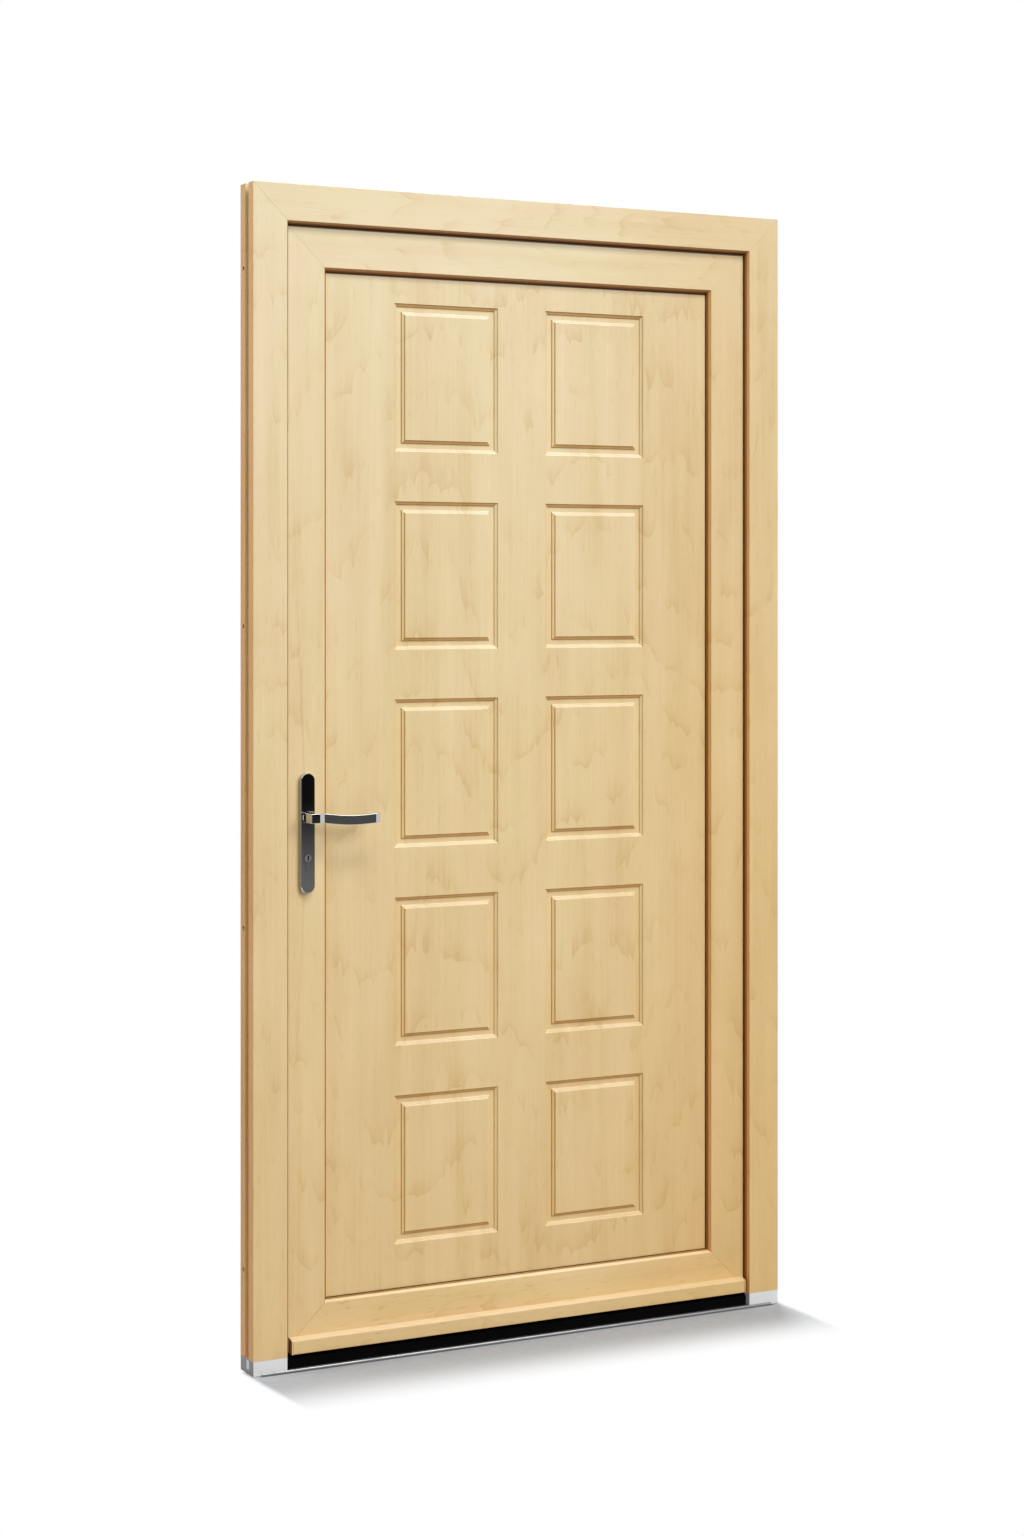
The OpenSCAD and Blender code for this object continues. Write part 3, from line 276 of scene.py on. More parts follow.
    def tint(self, share: Socket | float, base: Socket, colour: Colour) -> Socket:
        """Multiply a colour by another where a share says so.

        Args:
            share: How much of the tint shows.
            base: The colour below.
            colour: The tint.

        Returns:
            The colour's socket.
        """
        node = self.add("Mix", data_type="RGBA", blend_type="MULTIPLY", clamp_result=True)
        self.feed(node.inputs[0], share)
        self.join(base, node.inputs[6])
        node.inputs[7].default_value = opaque(colour)
        return node.outputs[2]

    def product(self, first: Socket, second: Socket) -> Socket:
        """Multiply two colours.

        Args:
            first: One colour.
            second: The other colour.

        Returns:
            The colour's socket.
        """
        node = self.add("Mix", data_type="RGBA", blend_type="MULTIPLY")
        node.inputs[0].default_value = 1.0
        self.join(first, node.inputs[6])
        self.join(second, node.inputs[7])
        return node.outputs[2]

    def bump(self, height: Socket, strength: float, depth: float) -> None:
        """Give the surface a fine relief.

        Args:
            height: Height pattern.
            strength: How much of it shows.
            depth: Height of the relief in metres.
        """
        node = self.add("Bump")
        node.inputs["Strength"].default_value = strength
        node.inputs["Distance"].default_value = depth
        self.join(height, node.inputs["Height"])
        self.join(node.outputs["Normal"], self.shader.inputs["Normal"])


@dataclass(frozen=True)
class Sheet:
    """A member's foil laid flat: its nodes, places across and along the grain, and its seed."""

    w: Wiring
    across: Socket
    along: Socket
    seed: float


@dataclass(frozen=True)
class Layer:
    """One soft random layer of the wood figure, drawn out along the grain."""

    scale: float
    stretch: float
    offset: float
    detail: float
    rough: float = 0.5

    def pattern(self, sheet: Sheet) -> Socket:
        """Draw the layer.

        Args:
            sheet: The member's foil.

        Returns:
            The layer's value, about one half on average.
        """
        w = sheet.w
        where = w.vector(sheet.across, w.times(sheet.along, self.stretch), sheet.seed + self.offset)
        return w.noise(where, self.scale, self.detail, self.rough)


@dataclass(frozen=True)
class WoodFigure:
    """Streaks, planks, flames and flecks of the wood."""

    fine: Layer = Layer(170.0, 0.02, 0.0, 4.0, 0.62)
    broad: Layer = Layer(26.0, 0.05, 3.0, 2.0)
    cloud: Layer = Layer(11.0, 0.40, 7.0, 3.0)
    fleck: Layer = Layer(210.0, 0.14, 11.0, 1.0)
    swell: Layer = Layer(25.0, 0.30, 5.0, 1.0, 0.4)
    shift: Layer = Layer(4.0, 0.30, 9.0, 1.0)
    ripple: Layer = Layer(38.0, 1.0, 13.0, 2.0)
    patch: Layer = Layer(19.0, 0.30, 17.0, 2.0)
    fine_share: float = 0.34
    broad_share: float = 0.66
    cloud_share: float = 0.50
    darkening: float = 0.20
    fleck_span: Span = (0.60, 0.74)
    fleck_depth: float = 0.13
    flame_run: float = 0.12
    flame_rise: float = 0.24
    flame_depth: float = 0.34
    shift_run: float = 0.55
    ripple_run: float = 0.02
    fade_power: float = 5.0
    point_span: Span = (1.0, 0.955)
    ridge_span: Span = (0.18, 0.03)
    patch_span: Span = (0.40, 0.60)

    def tone(self, sheet: Sheet) -> Socket:
        """Lay the streaks, planks, flames and flecks over each other.

        Args:
            sheet: The member's foil.

        Returns:
            Tone from dark at zero to pale at one.
        """
        w = sheet.w
        tone = w.times(self.fine.pattern(sheet), self.fine_share)
        tone = w.plus(tone, w.times(self.broad.pattern(sheet), self.broad_share))
        tone = w.plus(tone, w.times(self.cloud.pattern(sheet), self.cloud_share))
        tone = w.minus(tone, self.darkening)
        tone = w.minus(tone, w.times(self.flames(sheet), self.flame_depth))
        flecks = w.between(self.fleck.pattern(sheet), self.fleck_span, (0.0, self.fleck_depth))
        return w.calculate("SUBTRACT", tone, flecks, clamp=True)

    def flames(self, sheet: Sheet) -> Socket:
        """Draw growth rings that end in crisp points below and fade along the grain.

        Args:
            sheet: The member's foil.

        Returns:
            Depth of the figure from zero to one.
        """
        w = sheet.w
        ridge = w.size(w.minus(self.swell.pattern(sheet), HALF))
        level = w.minus(sheet.along, w.times(ridge, self.flame_rise))
        level = w.plus(level, w.times(self.shift.pattern(sheet), self.shift_run))
        level = w.plus(level, w.times(self.ripple.pattern(sheet), self.ripple_run))
        left = w.minus(1.0, w.calculate("FRACT", w.calculate("DIVIDE", level, self.flame_run)))
        fade = w.times(w.calculate("POWER", left, self.fade_power), w.between(left, self.point_span))
        patch = w.between(self.patch.pattern(sheet), self.patch_span)
        return w.times(w.times(fade, w.between(ridge, self.ridge_span)), patch)


@dataclass(frozen=True)
class WoodFoil:
    """Pale foil printed with a wood figure, with painted shade on edges, slopes, lips and mitre
    grooves, painted light on upward slopes and by height, and painted shadows below lips.
    """

    dark: Colour = (0.600, 0.440, 0.220)
    middle: Colour = (0.725, 0.607, 0.385)
    pale: Colour = (0.805, 0.712, 0.505)
    blush: Colour = (1.01, 0.990, 1.02)
    # Painted shade on faces that look sideways or down
    edge: Colour = (1.0, 0.71, 0.45)
    # Painted highlight on slopes that look up
    up_highlight: Colour = (1.16, 1.28, 1.62)
    # Painted shade on slopes that look down
    down_shade: Colour = WHITE
    # Painted shade on the sheer walls of the raised fields
    steep_shade: Colour = WHITE
    # Painted shade on the back of the sloping lips, next to the seal
    lip_back_shade: Colour = (0.44, 0.29, 0.14)
    # Painted shade in the mitre groove on the lock side
    seam_shade: Colour = WHITE
    # Painted shadow below an upper lip
    line: Colour = (0.14, 0.06, 0.02)
    # Tints by height, painted light: deeper at the foot, paler and cooler at the crown
    foot: Colour = (1.0, 0.860, 0.635)
    waist: Colour = (1.0, 0.925, 0.765)
    crown: Colour = (0.93, 0.93, 0.91)
    hinge_side: Colour = (0.935, 0.870, 0.770)
    figure: WoodFigure = WoodFigure()
    strips: Layer = Layer(19.0, 0.10, 21.0, 2.0)
    pores: Layer = Layer(900.0, 0.02, 0.0, 3.0)
    height: float = 2.1
    slant: float = 0.61
    seed_across: float = 0.37
    seed_along: float = 1.71
    hinge_span: Span = (0.05, 0.45)
    strip_span: Span = (0.42, 0.60)
    turned_span: Span = (0.97, 0.80)
    steep_span: Span = (0.85, 0.62)
    level_span: Span = (0.25, 0.05)
    upper_span: Span = (0.15, 0.50)
    under_span: Span = (-0.12, -0.28)
    far_share: float = 1.0
    far_span: Span = (-0.02, 0.02)
    column_middle: float = 0.156
    lip_start: float = 1.0
    lip_blend: float = 0.0012
    lip_low_span: Span = (0.20, 0.35)
    lip_high_span: Span = (0.90, 0.75)
    lip_shadow_top: float = 0.0
    lip_shadow_width: float = 0.0030
    lip_shadow_blend: float = 0.0008
    front_span: Span = (-0.80, -0.95)
    seam_span: Span = (0.03, 0.10)
    lock_span: Span = (0.05, -0.05)
    roughness: float = 0.42
    gloss_rise: float = 0.05
    gloss_fall: float = 0.07
    pore_span: Span = (0.3, 0.7)
    relief: float = 0.12
    pore_depth: float = 0.0004
    gloss: float = 0.32

    def material(self, name: str, grain: Grain, seed: float) -> Material:
        """Make the foil for one kind of member.

        Args:
            name: Name of the material.
            grain: Direction of the figure.
            seed: Number that sets this member's figure apart.

        Returns:
            The material.
        """
        w = Wiring(name)
        x, y, z = w.place()
        side, along = (x, z) if grain is Grain.UPRIGHT else (z, x)
        across = w.plus(w.plus(side, w.times(y, self.slant)), seed * self.seed_across)
        along = w.plus(along, seed * self.seed_along)
        sheet = Sheet(w, across, along, seed)
        tone = self.figure.tone(sheet)
        colour = w.ramp(tone, [(0.0, self.dark), (HALF, self.middle), (1.0, self.pale)])
        # Painted light by height, for a sheen at the top and the fall of light from above
        height_light = w.ramp(w.calculate("DIVIDE", z, self.height),
                      [(0.0, self.foot), (HALF, self.waist), (1.0, self.crown)])
        colour = w.tint(w.between(x, self.hinge_span), w.product(colour, height_light), self.hinge_side)
        strips = self.strips.pattern(sheet)
        colour = w.tint(w.between(strips, self.strip_span), colour, self.blush)
        w.join(self.shaded(w, colour), w.shader.inputs["Base Color"])
        pores = self.pores.pattern(sheet)
        rough = (self.roughness - self.gloss_rise, self.roughness + self.gloss_fall)
        w.join(w.between(pores, self.pore_span, rough), w.shader.inputs["Roughness"])
        w.bump(pores, self.relief, self.pore_depth)
        w.shader.inputs["Specular IOR Level"].default_value = self.gloss
        return w.material

    def shaded(self, w: Wiring, colour: Socket) -> Socket:
        """Tint the print with painted shade on turned edges, down slopes, upright walls, lip backs and
        mitre grooves, a painted highlight on upward slopes, and a painted shadow below the upper lips.

        Args:
            w: Nodes of the material.
            colour: Colour of the print.

        Returns:
            The colour's socket.
        """
        tints = [(self.turned_shade_share(w, self.turned_span), self.edge),
                 (self.up_highlight_share(w), self.up_highlight),
                 (self.down_shade_share(w), self.down_shade),
                 (self.turned_shade_share(w, self.steep_span), self.steep_shade),
                 (self.lip_back_shade_share(w), self.lip_back_shade),
                 (self.seam_shade_share(w), self.seam_shade)]
        if self.lip_shadow_top > 0.0:
            tints.append((self.lip_shadow_share(w), self.line))
        for share, tint in tints:
            colour = w.tint(share, colour, tint)
        return colour

    def turned_shade_share(self, w: Wiring, span: Span) -> Socket:
        """Find faces turned away from the front, which get painted shade.

        Args:
            w: Nodes of the material.
            span: How far a face looks to the front or back where the share starts and is full.

        Returns:
            One on faces that look sideways or down, less on far halves, zero on flat and upward ones.
        """
        _, face_y, face_z = w.facing()
        turned = w.times(w.between(w.size(face_y), span), self.far_shade_weight(w, face_z))
        return w.times(turned, w.between(face_z, self.level_span))

    def up_highlight_share(self, w: Wiring) -> Socket:
        """Return one on slopes that look up, which get a painted highlight, and zero elsewhere."""
        _, _, face_z = w.facing()
        return w.between(face_z, self.upper_span)

    def down_shade_share(self, w: Wiring) -> Socket:
        """Return one on slopes that look down, which get painted shade, and zero elsewhere."""
        _, _, face_z = w.facing()
        return w.between(face_z, self.under_span)

    def far_shade_weight(self, w: Wiring, face_z: Socket) -> Socket | float:
        """Weaken the painted shade on the edges of the right half of each raised field.

        Args:
            w: Nodes of the material.
            face_z: How far the surface looks up.

        Returns:
            One on left halves and on faces that look down, and the far share elsewhere.
        """
        if self.far_share == 1.0:
            return 1.0
        x, _, _ = w.place()
        local = w.minus(x, w.times(w.calculate("SIGN", x), self.column_middle))
        weight = w.between(local, self.far_span, (1.0, self.far_share))
        return w.larger(weight, w.between(face_z, self.under_span))

    def lip_back_shade_share(self, w: Wiring) -> Socket:
        """Find the back of the sloping lips, which gets painted shade next to the seal.

        Args:
            w: Nodes of the material.

        Returns:
            One on the back of a lip that slopes to the front, and zero elsewhere.
        """
        _, y, _ = w.place()
        _, face_y, _ = w.facing()
        front = w.times(face_y, -1.0)
        sloping = w.times(w.between(front, self.lip_low_span), w.between(front, self.lip_high_span))
        return w.times(sloping, w.between(y, (self.lip_start, self.lip_start + self.lip_blend)))

    def lip_shadow_share(self, w: Wiring) -> Socket:
        """Find the painted shadow below an upper lip, on the outside face.

        Args:
            w: Nodes of the material.

        Returns:
            One from the line's lower end upward, and zero below it and on other faces.
        """
        _, _, z = w.place()
        _, face_y, _ = w.facing()
        low = self.lip_shadow_top - self.lip_shadow_width
        return w.times(w.between(face_y, self.front_span), w.between(z, (low - self.lip_shadow_blend, low)))

    def seam_shade_share(self, w: Wiring) -> Socket:
        """Find the rounded edges of the mitre on the lock side, which get painted shade.

        Args:
            w: Nodes of the material.

        Returns:
            One on faces of the left half that look sideways and up or down at once.
        """
        x, _, _ = w.place()
        face_x, _, face_z = w.facing()
        seam_shade = w.between(w.size(w.times(face_x, face_z)), self.seam_span)
        return w.times(seam_shade, w.between(x, self.lock_span))


@dataclass(frozen=True)
class Moulded:
    """Moulded plastic or rubber with a fine grained skin, and painted shade on faces that look
    sideways.
    """

    colour: Colour
    shade: Colour
    roughness: float
    relief: float = 0.1
    gloss: float = 0.4
    # Painted shade on faces that look sideways
    side: Colour = WHITE
    grain: float = 900.0
    cloud: float = 14.0
    skin_share: float = 0.35
    cloud_share: float = 0.65
    mix_span: Span = (0.3, 0.7)
    side_span: Span = (0.6, 0.9)
    spread: float = 0.06
    skin_depth: float = 0.0003

    def material(self, name: str) -> Material:
        """Make the moulded finish.

        Args:
            name: Name of the material.

        Returns:
            The material.
        """
        w = Wiring(name)
        where = w.vector(*w.place())
        skin = w.noise(where, self.grain)
        cloud = w.noise(where, self.cloud)
        mixed = w.plus(w.times(skin, self.skin_share), w.times(cloud, self.cloud_share))
        low, high = self.mix_span
        colour = w.ramp(mixed, [(low, self.shade), (high, self.colour)])
        face_x, _, _ = w.facing()
        # Share of painted shade on faces that look sideways
        sideways = w.between(w.size(face_x), self.side_span)
        w.join(w.tint(sideways, colour, self.side), w.shader.inputs["Base Color"])
        rough = (self.roughness - self.spread, self.roughness + self.spread)
        w.join(w.between(skin, self.mix_span, rough), w.shader.inputs["Roughness"])
        w.bump(skin, self.relief, self.skin_depth)
        w.shader.inputs["Specular IOR Level"].default_value = self.gloss
        return w.material


@dataclass(frozen=True)
class DrawnMetal:
    """Metal with faint lines along one axis, from a drawn or brushed surface."""

    colour: Colour
    shade: Colour
    roughness: float
    stretch: Point = (0.02, 1.0, 1.0)
    lines: float = 700.0
    relief: float = 0.06
    spread: float = 0.05
    cloud: float = 24.0
    mix_span: Span = (0.3, 0.7)
    line_depth: float = 0.0002

    def material(self, name: str) -> Material:
        """Make the metal finish.

        Args:
            name: Name of the material.

        Returns:
            The material.
        """
        w = Wiring(name)
        place = w.place()
        stretched = w.vector(*(w.times(part, share) for part, share in zip(place, self.stretch)))
        line = w.noise(stretched, self.lines)
        cloud = w.noise(w.vector(*place), self.cloud)
        mixed = w.plus(w.times(line, HALF), w.times(cloud, HALF))
        low, high = self.mix_span
        w.join(w.ramp(mixed, [(low, self.shade), (high, self.colour)]), w.shader.inputs["Base Color"])
        rough = (self.roughness + self.spread, self.roughness - self.spread)
        w.join(w.between(mixed, self.mix_span, rough), w.shader.inputs["Roughness"])
        w.bump(line, self.relief, self.line_depth)
        w.shader.inputs["Metallic"].default_value = 1.0
        return w.material


def soften(node: bpy.types.Object, width: float, segments: int = 2) -> None:
    """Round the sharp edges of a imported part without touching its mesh.

    Args:
        node: The part.
        width: Width of the rounding in metres.
        segments: Steps of the rounding.
    """
    weld = node.modifiers.new("weld", "WELD")
    weld.merge_threshold = WELD_DISTANCE
    bevel = node.modifiers.new("soft_edge", "BEVEL")
    bevel.width = width
    bevel.segments = segments
    bevel.limit_method = "ANGLE"
    bevel.angle_limit = SHARP_ANGLE
    bevel.harden_normals = True


def dress(names: tuple[str, ...], material: Material, edge: float = 0.0) -> None:
    """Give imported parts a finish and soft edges.

    Args:
        names: Names of the parts.
        material: Their finish.
        edge: Width of the soft edges in metres, or zero for none.
    """
    for name in names:
        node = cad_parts[name]
        node.data.materials.clear()
        node.data.materials.append(material)
        if edge > 0.0:
            soften(node, edge)
        LOG.info("dressed %s with %s", name, material.name)


def linked(bm: Mesh, name: str) -> bpy.types.Object:
    """Turn a built mesh into an object of the scene.

    Args:
        bm: The mesh, with its place in it.
        name: Name of the object.

    Returns:
        The object, at the origin.
    """
    mesh = bpy.data.meshes.new(name)
    bm.to_mesh(mesh)
    bm.free()
    made = bpy.data.objects.new(name, mesh)
    bpy.context.scene.collection.objects.link(made)
    return made


def finished(bm: Mesh, name: str, body: str, material: Material) -> bpy.types.Object:
    """Turn a built mesh into a piece that rides on a body.

    Args:
        bm: The mesh, with its place in it.
        name: Name of the piece.
        body: Body that it rides on.
        material: Its finish.

    Returns:
        The piece.
    """
    bmesh.ops.remove_doubles(bm, verts=bm.verts[:], dist=MERGE_DISTANCE)
    bmesh.ops.recalc_face_normals(bm, faces=bm.faces[:])
    piece = linked(bm, name)
    piece.data.materials.append(material)
    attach(piece, body)
    LOG.info("built %s on %s with %d faces", name, body, len(piece.data.polygons))
    return piece


@dataclass
class Finishes:
    """Every finish of the door, made once."""

    # Painted shade on the undersides of the lips
    lip_underside_shade: Colour = (0.62, 0.49, 0.36)
    # Depths from which the backs of the lips get painted shade
    frame_lip_back: float = -0.0240
    leaf_lip_back: float = -0.0104
    foot_lip_back: float = -0.0102
    upright_lines: Point = (1.0, 1.0, 0.03)
    through_lines: Point = (1.0, 0.05, 1.0)

    def __post_init__(self) -> None:
        """Make the materials."""
        self.make_foils()
        self.make_plastics()
        self.make_metals()

    def make_foils(self) -> None:
        """Make the wood foils of the members, each with a figure of its own."""
        outer = WoodFoil(lip_start=self.frame_lip_back, down_shade=self.lip_underside_shade)
        self.jamb = outer.material("foil_jamb", Grain.UPRIGHT, 1.0)
        self.head = outer.material("foil_head", Grain.LYING, 2.0)
        inner = WoodFoil(lip_start=self.leaf_lip_back, down_shade=self.lip_underside_shade)
        self.stile = inner.material("foil_stile", Grain.UPRIGHT, 3.3)
        # The top rail gets a painted shadow below the head's seal
        shadow_lined = replace(inner, lip_shadow_top=HEAD_SEAL_FOOT)
        self.rail = shadow_lined.material("foil_rail", Grain.LYING, 4.1)
        # The beads get a milder painted shade on their turned faces
        bead = WoodFoil(edge=(1.0, 0.87, 0.72))
        self.bead_upright = bead.material("foil_bead_upright", Grain.UPRIGHT, 3.9)
        self.bead_lying = bead.material("foil_bead_lying", Grain.LYING, 4.4)
        # The bottom rail's foil has painted shade in its mitre groove on the lock side
        foot = WoodFoil(dark=(0.630, 0.462, 0.231), middle=(0.765, 0.640, 0.406),
                        pale=(0.848, 0.750, 0.532), seam_shade=(0.58, 0.46, 0.34),
                        lip_start=self.foot_lip_back, figure=WoodFigure(fleck_depth=0.24))
        self.foot = foot.material("foil_foot", Grain.LYING, 4.7)
        # The panel's fields get painted shade on their walls and down slopes, weaker on right halves,
        # and a painted shadow below the top gasket
        panel = WoodFoil(edge=(1.0, 0.97, 0.85), down_shade=(0.78, 0.61, 0.42), steep_shade=(0.86, 0.72, 0.54),
                         turned_span=(0.985, 0.945), far_share=0.15, lip_shadow_top=RAIL_GASKET_FOOT,
                         lip_shadow_width=0.0022)
        self.panel = panel.material("foil_panel", Grain.UPRIGHT, 5.2)
        bar = WoodFoil(figure=WoodFigure(fleck_depth=0.26))
        self.bar = bar.material("foil_bar", Grain.LYING, 6.4)
        # The caps get a deep painted shade on their turned faces, for the shade in the gaps at their
        # ends
        cap = WoodFoil(edge=(0.42, 0.24, 0.13))
        self.cap = cap.material("foil_cap", Grain.LYING, 6.4)

    def make_plastics(self) -> None:
        """Make the rubbers and the moulded plastics."""
        rubber = Moulded((0.042, 0.019, 0.005), (0.030, 0.013, 0.003), 0.75, gloss=0.03)
        self.rubber = rubber.material("seal_rubber")
        gasket = Moulded((0.090, 0.041, 0.011), (0.068, 0.031, 0.009), 0.75, gloss=0.03)
        self.gasket = gasket.material("gasket_rubber")
        black = Moulded((0.0016, 0.0016, 0.0016), (0.0010, 0.0010, 0.0010), 0.75, gloss=0.03)
        self.black = black.material("black_plastic")
        # Grey end blocks with painted shade on their sideways faces
        grey = Moulded((0.78, 0.79, 0.80), (0.71, 0.72, 0.73), 0.5, relief=0.06, gloss=0.25,
                       side=(0.40, 0.40, 0.41))
        self.grey = grey.material("grey_plastic")
        pale = Moulded((0.82, 0.82, 0.82), (0.74, 0.74, 0.74), 0.5, relief=0.06, gloss=0.25)
        self.pale = pale.material("pale_plastic")

    def make_metals(self) -> None:
        """Make the drawn, polished and plated metals."""
        sill = DrawnMetal((0.38, 0.38, 0.38), (0.28, 0.28, 0.28), 0.45)
        self.sill = sill.material("drawn_sill")
        chrome = DrawnMetal((0.56, 0.56, 0.55), (0.48, 0.48, 0.47), 0.034, stretch=self.upright_lines,
                            lines=500.0, relief=0.003, spread=0.012)
        self.chrome = chrome.material("dark_polish")
        nickel = DrawnMetal((0.40, 0.385, 0.36), (0.28, 0.27, 0.25), 0.26, stretch=self.through_lines,
                            lines=900.0, relief=0.04)
        self.nickel = nickel.material("dark_nickel")
        steel = DrawnMetal((0.62, 0.62, 0.60), (0.44, 0.44, 0.43), 0.33, stretch=self.upright_lines,
                           lines=600.0, relief=0.05)
        self.steel = steel.material("zinced_steel")


@dataclass
class OuterFrame:
    """Jambs, head, seal, steel and keeps of the frame."""

    finishes: Finishes
    edge: float = 0.0003

    def build(self) -> None:
        """Dress the frame's members."""
        dress(("jamb_left", "jamb_right"), self.finishes.jamb, self.edge)
        dress(("head",), self.finishes.head, self.edge)
        dress(("frame_seal",), self.finishes.rubber)
        dress(("jamb_left_steel", "jamb_right_steel", "head_steel"), self.finishes.steel)
        dress(("keep_main", "side_keeps", "keep_screws"), self.finishes.steel)


@dataclass
class Threshold:
    """Sill, thermal break and end blocks."""

    finishes: Finishes
    edge: float = 0.0009
    pad_run: float = 0.011
    pad_height: float = 0.016
    pad_rise: float = 0.0012
    pad_middle: Span = (-0.0065, 0.0165)
    pad_round: float = 0.0005

    def build(self) -> None:
        """Dress the threshold's parts and add the raised tongues of the end blocks."""
        dress(("threshold_sill", "threshold_inner"), self.finishes.sill, self.edge)
        dress(("threshold_break",), self.finishes.black, self.edge)
        dress(("threshold_block_left", "threshold_block_right"), self.finishes.grey, self.edge)
        self.pads()

    def pads(self) -> None:
        """Build the tongue on the outer side of each end block."""
        bm = bmesh.new()
        y, z = self.pad_middle
        for block in ("threshold_block_left", "threshold_block_right"):
            low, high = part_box(block)
            x = low[0] if low[0] < 0.0 else high[0]
            cube = bmesh.ops.create_cube(bm, size=1.0)["verts"]
            bmesh.ops.scale(bm, vec=(self.pad_rise * 2.0, self.pad_run, self.pad_height), verts=cube)
            bmesh.ops.translate(bm, vec=(x, y, z), verts=cube)
        bmesh.ops.bevel(bm, geom=bm.edges[:], offset=self.pad_round, offset_type="OFFSET", segments=2,
                        profile=0.5, affect="EDGES", material=-1)
        finished(bm, "threshold_end_pads", "frame", self.finishes.pale)


@dataclass
class Leaf:
    """Stiles, rails, panel, beads and seals of the leaf."""

    finishes: Finishes
    edge: float = 0.0003
    foot_edge: float = 0.0008
    bar_edge: float = 0.0014

    def build(self) -> None:
        """Dress the leaf's members."""
        dress(("stile_lock", "stile_hinge"), self.finishes.stile, self.edge)
        dress(("bead_left", "bead_right"), self.finishes.bead_upright, self.edge)
        dress(("bead_top", "bead_bottom"), self.finishes.bead_lying, self.edge)
        dress(("rail_top",), self.finishes.rail, self.edge)
        dress(("rail_bottom",), self.finishes.foot, self.foot_edge)
        dress(("infill_panel",), self.finishes.panel)
        dress(("weather_bar",), self.finishes.bar, self.bar_edge)
        dress(("weather_bar_caps",), self.finishes.cap, self.bar_edge)
        dress(("panel_gasket_outer", "panel_gasket_inner"), self.finishes.gasket)
        dress(("leaf_seal", "bottom_brush"), self.finishes.rubber)
        dress(("panel_packers",), self.finishes.black)
        dress(("stile_lock_steel", "stile_hinge_steel", "rail_top_steel", "rail_bottom_steel"),
              self.finishes.steel)


@dataclass
class Lock:
    """Faceplate, cases, bolts, rods and cylinder."""

    finishes: Finishes

    def build(self) -> None:
        """Dress the lock's parts."""
        dress(("lock_faceplate", "faceplate_screws", "lock_case", "side_bolt_cases", "lock_follower",
               "latch_bolt", "deadbolt", "side_bolts", "drive_rod_upper", "drive_rod_lower",
               "handle_spindle"), self.finishes.steel)
        dress(("cylinder_body",), self.finishes.chrome)
        dress(("plug_outside", "plug_inside", "cylinder_cam"), self.finishes.nickel)


